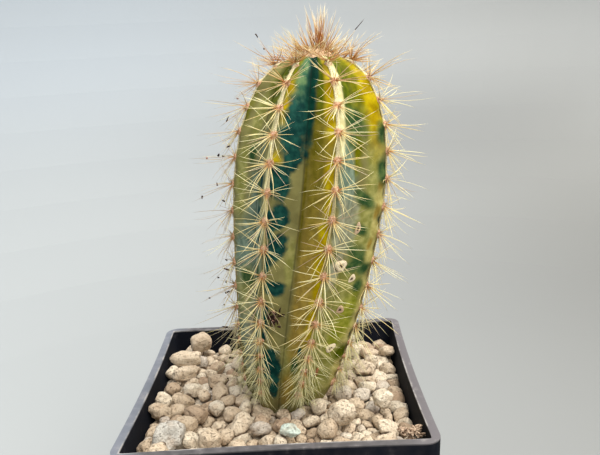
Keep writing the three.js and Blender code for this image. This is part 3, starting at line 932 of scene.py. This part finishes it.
places, radii = settled_stones()
large = radii > LARGE_STONE
large[: len(MARKED_STONES)] = True
slab, slab_corners = stone_shape(4, 2, 26)
slab[:, 2] -= SLAB_DISH * np.exp(-((np.hypot(*slab[:, :2].T) / 0.6) ** 2)) * (slab[:, 2] > 0)
large_shapes = [(slab, slab_corners)] + [stone_shape(4) for _ in range(LARGE_SHAPES)]
small_shapes = [stone_shape(3) for _ in range(SMALL_SHAPES)]
large_stones = stone_pile("pumice_large", large_shapes, np.flatnonzero(large))
small_stones = stone_pile("pumice_small", small_shapes, np.flatnonzero(~large))

pumice, wire = new_finish("pumice", Specular_IOR_Level=0.15)
tone = wire.attribute("tone")
stone_colours = [
    (0.0, (0.37, 0.265, 0.18)),
    (0.12, (0.5, 0.395, 0.28)),
    (0.5, (0.62, 0.505, 0.37)),
    (0.86, (0.71, 0.62, 0.48)),
    (0.97, (0.5, 0.44, 0.37)),
]
base = tone.node("ValToRGB", {"stops": stone_colours}, {"Fac": tone})
pale = tone.step(1.1, 1.15).mix(base, (0.52, 0.49, 0.43))
icy = tone.step(1.25, 1.3).mix(pale, (0.5, 0.57, 0.5))
stain = wire.noise(2.6 * MM, 4).step(0.42, 0.72)
stained = (0.4 * stain).mix(icy, (0.36, 0.235, 0.14))
speckle = wire.noise(0.42 * MM, 3).step(0.52, 0.64)
# The pits are darkened: painted shade inside them
pits = wire.noise(0.8 * MM, 4).step(0.6, 0.68)
speckled = (0.26 * speckle).mix(stained, (0.2, 0.13, 0.08))
pit_shaded = (0.45 * pits).mix(speckled, (0.12, 0.075, 0.045))
# Painted shade: each stone is darkened where it comes near another stone or the stem
gap_shaded = (0.85 * wire.attribute("gap_shade").step(0.45, 1.0)).mix(pit_shaded, (0.085, 0.05, 0.03))
rough_face = wire.noise(1.0 * MM, 6)
feed(pumice, gap_shaded, 0.85 + 0.1 * rough_face, rough_face - 0.6 * pits - 0.25 * speckle, 0.5 * MM)
dress(large_stones, pumice, "pumice", "pumice_dressing")
dress(small_stones, pumice, "pumice")

flakes = []
for number in range(BARK_FLAKES):
    shape, corners = small_shapes[number % len(small_shapes)]
    half_sizes = stones_random.uniform((0.4, 0.25, 0.1), (1.1, 0.55, 0.22)) * MM
    turns = turned(*stones_random.uniform((-3.1, -1.2, -1.2), (3.1, 1.2, 1.2)))
    middle = np.array(BARK_PLACE) + stones_random.normal(size=3) * (1.3 * MM, 0.9 * MM, 0.5 * MM)
    flakes.append((shape * half_sizes @ turns.T + middle, corners, {}))
bark_scrap = joined("bark_scrap", flakes)
bark, wire = new_finish("bark", Specular_IOR_Level=0.2)
fibre = wire.noise(0.5 * MM, 5)
woody = fibre.step(0.3, 0.7).mix((0.16, 0.09, 0.055), (0.56, 0.43, 0.31))
feed(bark, woody, 0.8 + 0.1 * fibre, fibre)
dress(bark_scrap, bark, "potting_mix")

# The rows of areoles: on each crest a felted line joins woolly brown pads, which the spines grow
# from. It is cream at the top, and tawny and worn lower down. Each rib's line is one soft ridge
# that hugs the crest.
LINE_HALF_WIDTH = 0.45 * MM
LINE_THICKNESS = 0.22 * MM
# From the upper of these heights down to the lower, the line is worn to this share of its width
WORN_HEIGHTS = (42 * MM, 64 * MM)
WORN_SHARE = 0.4
# Over this height none of the line is tawny
CREAM_HEIGHT = 80 * MM
PAD_HALF_WIDTH = 1.1 * MM
PAD_THICKNESS = 0.85 * MM
LINE_SIDES = 10
LINE_ROWS = 170
line_ends = (areoles[0] - 2 * MM, areoles[-1] + 2.5 * MM)


def crest_frames(rib, distance):
    """Points of a crest with the ways up it, out of it and across it."""

    def at(where):
        radius, height = profile_at(where)
        return stem_points(np.full(len(where), float(rib)), height, radius)

    point = at(distance)
    up = unit(at(distance - 0.4 * MM) - at(distance + 0.4 * MM))
    radius, height = profile_at(distance)
    angle = crest_marks[rib + 2] + twist_at(height)
    side = np.stack([np.cos(angle), np.sin(angle), 0 * angle], -1)
    out = unit(np.cross(side, up))
    return point, up, out, np.cross(out, up)


felt, wire = new_finish("areole_felt", Specular_IOR_Level=0.2)
fluff = wire.noise(0.28 * MM, 3)
cream = fluff.step(0.3, 0.7).mix((0.56, 0.47, 0.25), (0.8, 0.73, 0.47))
tawny = fluff.step(0.3, 0.7).mix((0.2, 0.15, 0.045), (0.33, 0.25, 0.09))
worn = 1 - wire.place("Z").step(PUMICE_TOP + WORN_HEIGHTS[0], PUMICE_TOP + CREAM_HEIGHT)
line_colour = (0.9 * worn).mix(cream, tawny)
brown = fluff.step(0.35, 0.65).mix((0.44, 0.19, 0.09), (0.76, 0.5, 0.34))
pad_mask = (wire.attribute("pad") + 0.5 * (fluff - 0.5)).step(0.3, 0.8)
feed(felt, pad_mask.mix(line_colour, brown), 0.85 + 0.1 * fluff, fluff, 0.15 * MM)

for rib in range(RIBS):

    def line_place(column, row):
        distance = line_ends[1] + (line_ends[0] - line_ends[1]) * row
        point, up, out, side = crest_frames(rib, distance)
        pad = np.clip(near_areole(distance), 0, 1) ** 1.5
        end = np.clip(np.minimum(row, 1 - row) / 0.012, 0, 1) ** 0.5
        line_width = LINE_HALF_WIDTH * np.interp(profile_at(distance)[1], WORN_HEIGHTS, (WORN_SHARE, 1))
        width = end * (line_width + (PAD_HALF_WIDTH - line_width) * pad)
        thick = end * (LINE_THICKNESS + (PAD_THICKNESS - LINE_THICKNESS) * pad)
        angle = 2 * math.pi * column
        across = (width * np.cos(angle))[:, None] * side
        lift = (thick * np.sin(angle))[:, None] * out
        return point + across + lift

    line = wrapped_grid(f"rib_{rib + 1}_felt", LINE_SIDES, LINE_ROWS, line_place)
    _, line_height = turn_of(vertex_places(line))
    distance = np.interp(line_height, skin_line[::-1, 1], skin_distance[::-1])
    set_values(line, "pad", np.clip(near_areole(distance), 0, 1))
    dress(line, felt, "straw_spines")

# The spines: each areole bears about twenty thin straw-coloured radial spines that spread over the
# flanks, mostly sideways and down, and four longer ones that stand out. Down at the foot they
# hang, and the young ones near the top are rust coloured.
SPINE_THICKNESS = 0.093 * MM
THICKNESS_RANGE = (0.65, 1.25)
RADIALS = 19
CENTRALS = 4
RADIAL_LENGTH = (6 * MM, 10.5 * MM)
CENTRAL_LENGTH = (8.5 * MM, 12.2 * MM)
# Angles in degrees: how far round from straight down they spread, and how far they rise off the skin
RADIAL_SPREAD = 124
RADIAL_STRAY = 12
CENTRAL_SPREAD = 75
RADIAL_RISE = (6, 34)
CENTRAL_RISE = (42, 82)
# A few spines are this many times longer
LONG_SHARE = 0.12
LONGER = 1.2
# A spine's middle strays by up to a quarter of this share of its length
BENT = 0.32
# At the foot more spines hang closer together, are thinner and shorter, and lean down
FOOT_HEIGHT = 26 * MM
FOOT_RADIALS = 3
FOOT_NARROWING = 32
FOOT_STRAY = 14
FOOT_SLIMNESS = 0.38
FOOT_SHORTNESS = 0.22
FOOT_DROOP = 0.85
# The young spines at the top stand up and are shorter
YOUNG_HEIGHT = (82 * MM, 96 * MM)
YOUNG_SHORTNESS = 0.15
YOUNG_LIFT = 0.35
# The share of spines that are tan instead of straw-coloured, and the ribs where most of them are
# and where all are thinner
DULL_SHARE = 0.12
DULL_SIDE_SHARE = 0.75
DULL_RIBS = (4, 5)
DULL_THINNESS = 0.8
# The rib at the left, which crumbs are caught on
LEFT_RIB = 5
# How far over the pumice the tips stay, and the least share of a spine that is left for that
TIP_CLEARANCE = 0.8 * MM
SHORTEST = 0.15
# The fine wool: hairs of each pad and of each line
HAIRS = 16
HAIR_LENGTH = (0.9 * MM, 2.0 * MM)
LINE_HAIRS = 170
LINE_HAIR_LENGTH = (0.4 * MM, 0.9 * MM)
HAIR_THICKNESS = 0.05 * MM
spine_random = np.random.default_rng(31)


def needle_shape(sides, cuts):
    """A unit needle along +Z, tapered to a point and cut into lengths so that it can bend."""
    deselect()
    bpy.ops.mesh.primitive_cone_add(
        vertices=sides, radius1=1, radius2=0, depth=1, location=(0, 0, 0.5)
    )
    bpy.ops.object.transform_apply(location=True, rotation=False, scale=False)
    bpy.ops.object.mode_set(mode="EDIT")
    for cut in range(1, cuts + 1):
        bpy.ops.mesh.select_all(action="SELECT")
        bpy.ops.mesh.bisect(plane_co=(0, 0, cut / (cuts + 1)), plane_no=(0, 0, 1))
    bpy.ops.mesh.select_all(action="SELECT")
    bpy.ops.mesh.quads_convert_to_tris()
    bpy.ops.object.mode_set(mode="OBJECT")
    return take_shape(bpy.context.object)


def needles(name, pattern, roots, tips, thickness, bend, young, dull_share=0.0):
    """Needles from roots to tips, each bent its own way, with numbers for their colours."""
    shape, corners = pattern
    count = len(roots)
    along = tips - roots
    length = np.linalg.norm(along, axis=1)[:, None]
    way = along / length
    first = unit(np.cross(way, spine_random.normal(size=(count, 3))))
    second = np.cross(way, first)
    share = shape[:, 2]
    # The cone narrows evenly, and this keeps it nearly full almost to its point
    full = np.where(share < 0.999, (1 - share) ** 0.4 / np.maximum(1 - share, 1e-6), 0)
    width = np.asarray(thickness).reshape(-1, 1)
    across = shape[:, 0] * full * width
    over = shape[:, 1] * full * width
    sag = bend.reshape(-1, 1) * length * (share * (share - 1))
    points = (
        roots[:, None]
        + (share * length)[..., None] * way[:, None]
        + (across + sag)[..., None] * first[:, None]
        + over[..., None] * second[:, None]
    )
    starts = np.arange(count)[:, None, None] * len(shape)
    piece = mesh_piece(name, points, (corners + starts).reshape(-1, 3))
    set_values(piece, "along", np.tile(share, count))
    set_values(piece, "young", np.repeat(young, len(shape)))
    set_values(piece, "tone", np.repeat(spine_random.uniform(0, 1, count), len(shape)))
    set_values(piece, "dull", np.repeat(spine_random.uniform(0, 1, count) < dull_share, len(shape)))
    return piece


def spine_ways(azimuth, rise, up, out, side):
    """Directions from an areole: azimuth is from straight down the crest, rise is over the skin."""
    flat = np.cos(rise)[:, None]
    down = -np.cos(azimuth)[:, None] * flat * up
    return down + np.sin(azimuth)[:, None] * flat * side + np.sin(rise)[:, None] * out


spine_pattern = needle_shape(5, 3)
hair_pattern = needle_shape(3, 1)

straw, wire = new_finish(
    "straw_spines",
    Specular_IOR_Level=0.3,
    Subsurface_Weight=0.35,
    Subsurface_Scale=0.25 * MM,
    Subsurface_Radius=(1, 0.85, 0.6),
)
along = wire.attribute("along")
tone = wire.attribute("tone")
bright_body = tone.mix((0.72, 0.55, 0.23), (0.87, 0.79, 0.46))
dull_body = tone.mix((0.34, 0.24, 0.15), (0.6, 0.48, 0.34))
straw_body = wire.attribute("dull").mix(bright_body, dull_body)
old = 1 - wire.place("Z").step(PUMICE_TOP + 6 * MM, PUMICE_TOP + 30 * MM)
greyed = (0.7 * old).mix(straw_body, (0.59, 0.57, 0.31))
root_colour = tone.mix((0.55, 0.22, 0.06), (0.78, 0.48, 0.2))
rooted = along.step(0.0, 0.22).mix(root_colour, greyed)
young_body = along.step(0.35, 1.05).mix((0.35, 0.115, 0.02), (0.88, 0.69, 0.39))
aged = wire.attribute("young").mix(rooted, young_body)
tipped = (along.step(0.8, 1.0) * tone.step(0.7, 0.75) * 0.7).mix(aged, (0.2, 0.11, 0.07))
feed(straw, tipped, 0.42 + 0.15 * tone)

for rib in range(RIBS):
    point, up, out, side = crest_frames(rib, areoles)
    roots, tips, widths, youth = [], [], [], []
    fine_roots, fine_tips = [], []
    for row in range(len(areoles)):
        height = point[row, 2] - PUMICE_TOP
        young = np.clip((height - YOUNG_HEIGHT[0]) / (YOUNG_HEIGHT[1] - YOUNG_HEIGHT[0]), 0, 1)
        droop = np.clip(1 - height / FOOT_HEIGHT, 0, 1)
        hanging = min(1.5 * droop, 1)
        radials = RADIALS + round(FOOT_RADIALS * hanging)
        widest = RADIAL_SPREAD - FOOT_NARROWING * droop
        scatter = RADIAL_STRAY + FOOT_STRAY * droop
        radial = np.linspace(-widest, widest, radials)
        radial += spine_random.uniform(-scatter, scatter, radials)
        central = spine_random.uniform(-CENTRAL_SPREAD, CENTRAL_SPREAD, CENTRALS)
        azimuth = np.radians(np.concatenate([radial, central]))
        low_rise = spine_random.uniform(*RADIAL_RISE, radials)
        high_rise = spine_random.uniform(*CENTRAL_RISE, CENTRALS)
        rise = np.radians(np.concatenate([low_rise, high_rise]))
        way = spine_ways(azimuth, rise, up[row], out[row], side[row])
        way[:, 2] -= FOOT_DROOP * droop
        way[:, 2] += YOUNG_LIFT * young
        way = unit(way)
        radial_length = spine_random.uniform(*RADIAL_LENGTH, radials)
        central_length = spine_random.uniform(*CENTRAL_LENGTH, CENTRALS)
        length = np.concatenate([radial_length, central_length])
        length *= 1 - YOUNG_SHORTNESS * young - FOOT_SHORTNESS * droop
        length *= np.where(spine_random.uniform(0, 1, len(length)) < LONG_SHARE, LONGER, 1)
        start = point[row] + 0.4 * PAD_THICKNESS * out[row] + 0.5 * PAD_HALF_WIDTH * way
        end = start + way * length[:, None]
        lowest = PUMICE_TOP + TIP_CLEARANCE
        room = (start[:, 2] - lowest) / np.maximum(start[:, 2] - end[:, 2], 1e-6)
        cut = np.where(end[:, 2] < lowest, np.clip(room, SHORTEST, 1), 1)
        end = start + (end - start) * cut[:, None]
        roots.append(start)
        tips.append(end)
        slim = 1 - FOOT_SLIMNESS * hanging
        slim *= DULL_THINNESS if rib in DULL_RIBS else 1
        widths.append(slim * SPINE_THICKNESS * spine_random.uniform(*THICKNESS_RANGE, len(start)))
        youth.append(np.full(len(start), young))
        azimuth = spine_random.uniform(-math.pi, math.pi, HAIRS)
        rise = np.radians(spine_random.uniform(0, 50, HAIRS))
        way = spine_ways(azimuth, rise, up[row], out[row], side[row])
        start = point[row] + 0.3 * PAD_THICKNESS * out[row] + 0.6 * PAD_HALF_WIDTH * way
        fine_roots.append(start)
        fine_tips.append(start + way * spine_random.uniform(*HAIR_LENGTH, (HAIRS, 1)))
    roots, tips = np.concatenate(roots), np.concatenate(tips)
    if rib == LEFT_RIB:
        left_spines = (roots, tips)
    bend = spine_random.uniform(-BENT, BENT, len(roots))
    spines = needles(
        f"rib_{rib + 1}_straw",
        spine_pattern,
        roots,
        tips,
        np.concatenate(widths),
        bend,
        np.concatenate(youth),
        DULL_SIDE_SHARE if rib in DULL_RIBS else DULL_SHARE,
    )
    dress(spines, straw, "straw_spines", f"rib_{rib + 1}_spines")
    distance = line_ends[0] + spine_random.beta(1, 1.6, LINE_HAIRS) * (line_ends[1] - line_ends[0])
    point, up, out, side = crest_frames(rib, distance)
    sideways = spine_random.uniform(-1, 1, (LINE_HAIRS, 1))
    start = point + 0.8 * LINE_HALF_WIDTH * sideways * side
    way = out + 1.2 * sideways * side + spine_random.uniform(-0.9, 0.4, (LINE_HAIRS, 1)) * up
    fine_roots.append(start)
    fine_tips.append(start + way * spine_random.uniform(*LINE_HAIR_LENGTH, (LINE_HAIRS, 1)))
    roots, tips = np.concatenate(fine_roots), np.concatenate(fine_tips)
    bend = spine_random.uniform(-0.8, 0.8, len(roots))
    wool = needles(
        f"rib_{rib + 1}_wool",
        hair_pattern,
        roots,
        tips,
        np.full(len(roots), HAIR_THICKNESS),
        bend,
        np.zeros(len(roots)),
    )
    dress(wool, felt, "straw_spines")

# Old marks on the skin: round corky scars with a sunken middle, where the skin was hurt and healed.
# Each is a thin scab that has grown into the skin between the front rib and the right-hand one, and
# the largest has half peeled off.
scar_random = np.random.default_rng(8)
# Each scar: turn, height, half sizes across, up and out in mm, spin and peel in degrees, tone
SCARS = [
    (0.27, 41.5, 1.7, 1.5, 0.8, 10, 40, 0.85),
    (0.68, 36.0, 0.95, 1.35, 0.5, -35, 10, 0.8),
    (0.63, 49.8, 0.75, 1.75, 0.5, -8, 10, 0.5),
    (0.6, 27.5, 1.1, 1.2, 0.6, 0, 15, 0.45),
    (0.62, 16.0, 1.2, 1.5, 0.6, -40, 10, 0.95),
    (0.44, 9.0, 0.4, 1.3, 0.5, -10, 0, 0.0),
]
# The middle of a scar is sunken by this share of its thickness, and its edge is uneven by this much
SUNKEN = 0.75
UNEVEN = 0.12


def skin_frame(turn, height):
    """A point of the skin with the ways across it, up it and out of it."""

    def at(turn, height):
        radius = radius_at(height) * section_share(turn)
        return stem_points(np.array([turn]), np.array([height]), radius)[0]

    side = at(turn + 0.01, height) - at(turn - 0.01, height)
    up = at(turn, height + 0.2 * MM) - at(turn, height - 0.2 * MM)
    side, up = side / np.linalg.norm(side), up / np.linalg.norm(up)
    return at(turn, height), side, up, np.cross(side, up)


deselect()
bpy.ops.mesh.primitive_uv_sphere_add(segments=20, ring_count=14, radius=1)
edit_whole()
bpy.ops.mesh.quads_convert_to_tris()
bpy.ops.object.mode_set(mode="OBJECT")
bead, bead_faces = take_shape(bpy.context.object)

scabs = []
for number, (turn, height, half_across, half_up, thick, spin, peel, tone) in enumerate(SCARS):
    place, side, up, out = skin_frame(turn, height * MM)
    spin, peel = math.radians(spin), math.radians(peel)
    place = place + 0.7 * math.sin(peel) * half_across * MM * out
    raised = side * math.cos(peel) + out * math.sin(peel)
    out = out * math.cos(peel) - side * math.sin(peel)
    across = math.cos(spin) * raised + math.sin(spin) * up
    along = math.cos(spin) * up - math.sin(spin) * raised
    reach = np.hypot(bead[:, 0], bead[:, 1])
    uneven = 1 + UNEVEN * np.sin(3 * np.arctan2(bead[:, 1], bead[:, 0]) + number)
    lift = bead[:, 2] * thick * MM * (1 - SUNKEN * np.exp(-((reach / 0.4) ** 2)))
    point = place + (bead[:, 0] * uneven * half_across * MM)[:, None] * across
    point = point + (bead[:, 1] * uneven * half_up * MM)[:, None] * along
    point = point + lift[:, None] * out
    scabs.append((point, bead_faces, {"tone": np.full(len(bead), tone), "reach": reach}))
scars = joined("skin_scars", scabs)
cork, wire = new_finish("cork", Specular_IOR_Level=0.2)
tone = wire.attribute("tone")
crust = wire.noise(0.5 * MM, 4)
rim_colour = tone.step(0.1, 0.9).mix((0.3, 0.12, 0.045), (0.82, 0.7, 0.5))
ringed = wire.attribute("reach").step(0.2, 0.5).mix((0.05, 0.03, 0.02), rim_colour)
feed(cork, (0.3 * crust).mix(ringed, (0.3, 0.17, 0.1)), 0.7 + 0.2 * crust, crust)
dress(scars, cork, "variegated_skin")

# Crumbs: dry dark scraps that are caught between the spines, a small tangle of them low between
# the two front ribs and single ones out on the spines to the left.
TANGLE_TURN = 6.2 - RIBS
TANGLE_HEIGHT = 28.5 * MM
TANGLE_SCRAPS = 46
# The lone crumbs sit on spines that reach at least this far to the left
LONE_CRUMBS = 22
LEFTWARD_REACH = 3.5 * MM
# The dark outer end of one spine at the crown
DARK_TIP = ((25.3, -3, 167.9), (27.9, -3, 170.6))
place, side, up, out = skin_frame(TANGLE_TURN, TANGLE_HEIGHT)
middle = place + 1.2 * MM * out
start = middle + scar_random.normal(0, 1, (TANGLE_SCRAPS, 3)) * (1.0 * MM)
way = unit(scar_random.normal(0, 1, (TANGLE_SCRAPS, 3)))
end = start + way * scar_random.uniform(0.6, 1.9, (TANGLE_SCRAPS, 1)) * MM
share = scar_random.uniform(0.45, 0.95, (LONE_CRUMBS, 1))
left_roots, left_tips = left_spines
leftward = np.flatnonzero(left_tips[:, 0] < left_roots[:, 0] - LEFTWARD_REACH)
chosen = scar_random.choice(leftward, LONE_CRUMBS, replace=False)
spot = left_roots[chosen] * (1 - share) + left_tips[chosen] * share
lone_way = scar_random.normal(0, 1, (LONE_CRUMBS, 3)) * (0.35 * MM)
crumbs = needles(
    "crumbs",
    needle_shape(5, 2),
    np.concatenate([start, spot - lone_way, [np.array(DARK_TIP[0]) * MM]]),
    np.concatenate([end, spot + lone_way, [np.array(DARK_TIP[1]) * MM]]),
    np.append(scar_random.uniform(0.18, 0.34, TANGLE_SCRAPS + LONE_CRUMBS), 0.12) * MM,
    np.append(scar_random.uniform(-0.5, 0.5, TANGLE_SCRAPS + LONE_CRUMBS), 0),
    np.zeros(TANGLE_SCRAPS + LONE_CRUMBS + 1),
)
scrap, wire = new_finish("crumbs", Specular_IOR_Level=0.2)
tone = wire.attribute("tone")
feed(scrap, tone.step(0.75, 1.0).mix((0.03, 0.013, 0.009), (0.34, 0.18, 0.13)), 0.8 + 0.1 * tone)
dress(crumbs, scrap, "potting_mix")

# The crown: a woolly cap over the growing point. A dense tuft of young rust-coloured spines stands
# up in its middle, and paler ones lean out to all sides round it.
CROWN_RADIUS = 5.6 * MM
CAP_THICKNESS = 1.1 * MM
CAP_GRID = (48, 16)
# The cap's felt is nearer the brown of a pad than the cream of a line
CAP_BROWN = 0.62
# Each ring of spines: number, inner and outer root radius, leans in degrees, lengths, youth and,
# where it is not a whole ring, the angles that it spans in degrees
CROWN_RINGS = [
    (36, (0, 1.5), (0, 10), (7, 12.5), 1.0),
    (44, (0.8, 3.8), (8, 48), (5, 10), 0.85),
    (66, (2.8, 5.8), (34, 84), (5.5, 10.5), 0.45),
    (64, (0.3, 4.8), (5, 65), (2.5, 5.5), 1.0),
    (5, (5.6, 6.4), (82, 92), (8, 11), 1.0, (172, 196)),
    (5, (5.6, 6.4), (80, 92), (8, 11), 1.0, (-16, 8)),
]
CROWN_WOOL = [(420, (0, 5.6), (0, 70), (1.2, 2.4), 0)]
# How far single spines stray from their ring's lean, in degrees, from their way and in youth
LEAN_STRAY = 8
WAY_STRAY = 0.13
YOUTH_STRAY = 0.2
# How far the tuft in the middle stands towards +X, and the radius that it fades out at
CROWN_SHIFT = 1.6 * MM
SHIFTED_RADIUS = 4 * MM
# The crown falls away from the apex by this many mm at 1 mm out, and by its square further on
CROWN_FALL = 0.055
# The lower part of the spine whose end has turned dark
STRAY_SPINE = ((20.2, -3, 161.6), (26.2, -3, 168.8))
apex = np.array([axis_x(STEM_HEIGHT), 0, PUMICE_TOP + STEM_HEIGHT])


def crown_needles(name, pattern, rings, thickness, stray=None):
    """Needles that rise from rings round the apex, and one stray from a root to a tip."""
    roots, tips, youth = [], [], []
    for count, radius, lean, length, young, *span in rings:
        angle = np.radians(spine_random.uniform(*(span[0] if span else (-180, 180)), count))
        outward = np.stack([np.cos(angle), np.sin(angle), 0 * angle], -1)
        place = spine_random.uniform(0, 1, count)
        away = (radius[0] + (radius[1] - radius[0]) * place) * MM
        strayed = spine_random.uniform(-LEAN_STRAY, LEAN_STRAY, count)
        tilt = np.radians(lean[0] + (lean[1] - lean[0]) * place + strayed)
        root = apex + outward * away[:, None]
        root[:, 0] += CROWN_SHIFT * np.clip(1 - away / SHIFTED_RADIUS, 0, 1)
        root[:, 2] += 0.5 * MM - CROWN_FALL * away**2 / MM
        way = outward * np.sin(tilt)[:, None] + spine_random.normal(0, WAY_STRAY, (count, 3))
        way[:, 2] += np.cos(tilt)
        way = unit(way)
        roots.append(root)
        tips.append(root + way * spine_random.uniform(*length, count)[:, None] * MM)
        younger = spine_random.uniform(-YOUTH_STRAY, YOUTH_STRAY, count)
        youth.append(np.clip(young + younger, 0, 1))
    roots, tips, youth = np.concatenate(roots), np.concatenate(tips), np.concatenate(youth)
    if stray:
        roots, tips = np.vstack([roots, [stray[0]]]), np.vstack([tips, [stray[1]]])
        youth = np.append(youth, 1)
    width = thickness * spine_random.uniform(0.8, 1.15, len(roots))
    bend = spine_random.uniform(-0.3, 0.3, len(roots))
    if stray:
        bend[-1] = 0
    return needles(name, pattern, roots, tips, width, bend, youth)


def cap_place(column, row):
    """The wool cap, as a low dome that closes under itself."""
    angle = 2 * math.pi * column
    arc = math.pi * row
    ring = CROWN_RADIUS * 0.95 * np.sin(arc)
    lift = CAP_THICKNESS * np.cos(arc) - CROWN_FALL * ring**2 / MM
    return apex + np.stack([ring * np.cos(angle), ring * np.sin(angle), lift], -1)


cap = wrapped_grid("crown_felt", *CAP_GRID, cap_place)
set_values(cap, "pad", np.full(len(cap.data.vertices), CAP_BROWN))
dress(cap, felt, "rust_spines")
stray_spine = tuple(np.array(STRAY_SPINE) * MM)
tuft = crown_needles("crown_tuft", spine_pattern, CROWN_RINGS, SPINE_THICKNESS, stray_spine)
dress(tuft, straw, "rust_spines", "crown_spines")
wool = crown_needles("crown_wool", hair_pattern, CROWN_WOOL, HAIR_THICKNESS)
dress(wool, felt, "rust_spines")

# The stage: a pale sweep that rises round the plant, with painted light and shade on its paper, soft
# light from above and from the right, a fill from the front right, and the camera where the photograph
# was taken from.
SWEEP_FLAT = 0.25
SWEEP_CURVE = 1.3
SWEEP_STEPS = 14
STEP_ANGLE = math.radians(4.3)
deselect()
bpy.ops.mesh.primitive_circle_add(vertices=96, radius=SWEEP_FLAT, fill_type="NGON")
sweep = bpy.context.object
sweep.name = "sweep"
bpy.ops.object.mode_set(mode="EDIT")
pick("edges", lambda edge: True)
for step in range(SWEEP_STEPS):
    before, after = step * STEP_ANGLE, (step + 1) * STEP_ANGLE
    rise = SWEEP_CURVE * (math.cos(before) - math.cos(after))
    now = SWEEP_FLAT + SWEEP_CURVE * math.sin(before)
    then = SWEEP_FLAT + SWEEP_CURVE * math.sin(after)
    bpy.ops.mesh.extrude_edges_move(TRANSFORM_OT_translate={"value": (0, 0, rise)})
    lift = SWEEP_CURVE * (1 - math.cos(after))
    bpy.ops.transform.resize(value=(then / now, then / now, 1), center_override=(0, 0, lift))
deselect()
bpy.ops.object.shade_smooth()
paper, wire = new_finish("sweep_paper", Specular_IOR_Level=0.1, Roughness=0.9)
# Painted light on the paper: lighter and bluer at the left, darker at the right, and darker on the
# floor than on the wall that rises from it
to_right = wire.place("X").step(-0.35, 0.35)
low_tint = to_right.mix((0.4, 0.42, 0.425), (0.165, 0.165, 0.156))
high_tint = to_right.mix((0.45, 0.486, 0.513), (0.375, 0.38, 0.37))
tint = wire.place("Z").step(0, 0.18).mix(low_tint, high_tint)
# At the right, painted light makes its bend behind the plant lighter, and painted shade makes the part
# that has risen darker
far = wire.place("Y")
bend_light = far.step(0.2, 0.5) * (1 - far.step(0.45, 0.7)) * to_right
corner = wire.place("X").step(0.2, 0.5) * wire.place("Z").step(0.06, 0.16)
feed(paper, tint.scale(1 + 0.28 * bend_light - 0.14 * corner))
sweep.data.materials.append(paper)
sweep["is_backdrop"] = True

world = bpy.data.worlds.new("daylight")
world.use_nodes = True
world.node_tree.nodes["Background"].inputs["Color"].default_value = (0.82, 0.9, 1.0, 1)
world.node_tree.nodes["Background"].inputs["Strength"].default_value = 0.55
bpy.context.scene.world = world


def soft_light(name, place, aim, size, power, colour):
    """A square soft light that faces a point."""
    bpy.ops.object.light_add(type="AREA", location=place)
    light = bpy.context.object
    light.name = name
    light.data.size = size
    light.data.energy = power
    light.data.color = colour
    light.rotation_euler = (Vector(aim) - Vector(place)).to_track_quat("-Z", "Y").to_euler()


middle = (0.01, 0, 0.11)
soft_light("window", (0.1, 0.08, 1.15), middle, 0.9, 12.5, (1.0, 0.97, 0.92))
soft_light("side_window", (0.6, 0.15, 0.8), middle, 0.6, 7, (1.0, 0.97, 0.92))
soft_light("front_fill", (0.3, -0.65, 0.85), middle, 0.7, 9.5, (1.0, 0.96, 0.88))

# Where the camera stood and its axes, as read from the four corners of the pot's rim
CAMERA_PLACE = Vector((10.8, -184.1, 162.2)) * MM
FORWARD = Vector((-0.0122, 0.9700, -0.2427))
RIGHT = Vector((0.9985, -0.0010, -0.0539))
UP = Vector((0.0525, 0.2430, 0.9686))
LENS = 41.08
bpy.ops.object.camera_add()
camera = bpy.context.object
camera.data.lens = LENS
camera.data.sensor_width = 36
camera.data.clip_start = 0.01
facing = Matrix((RIGHT, UP, -FORWARD)).transposed().to_4x4()
camera.matrix_world = Matrix.Translation(CAMERA_PLACE) @ facing
bpy.context.scene.camera = camera
bpy.context.scene.view_settings.view_transform = "Standard"

low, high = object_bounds()
sizes = {"cad": [list(cad_low), list(cad_high)], "visual": [list(low), list(high)]}
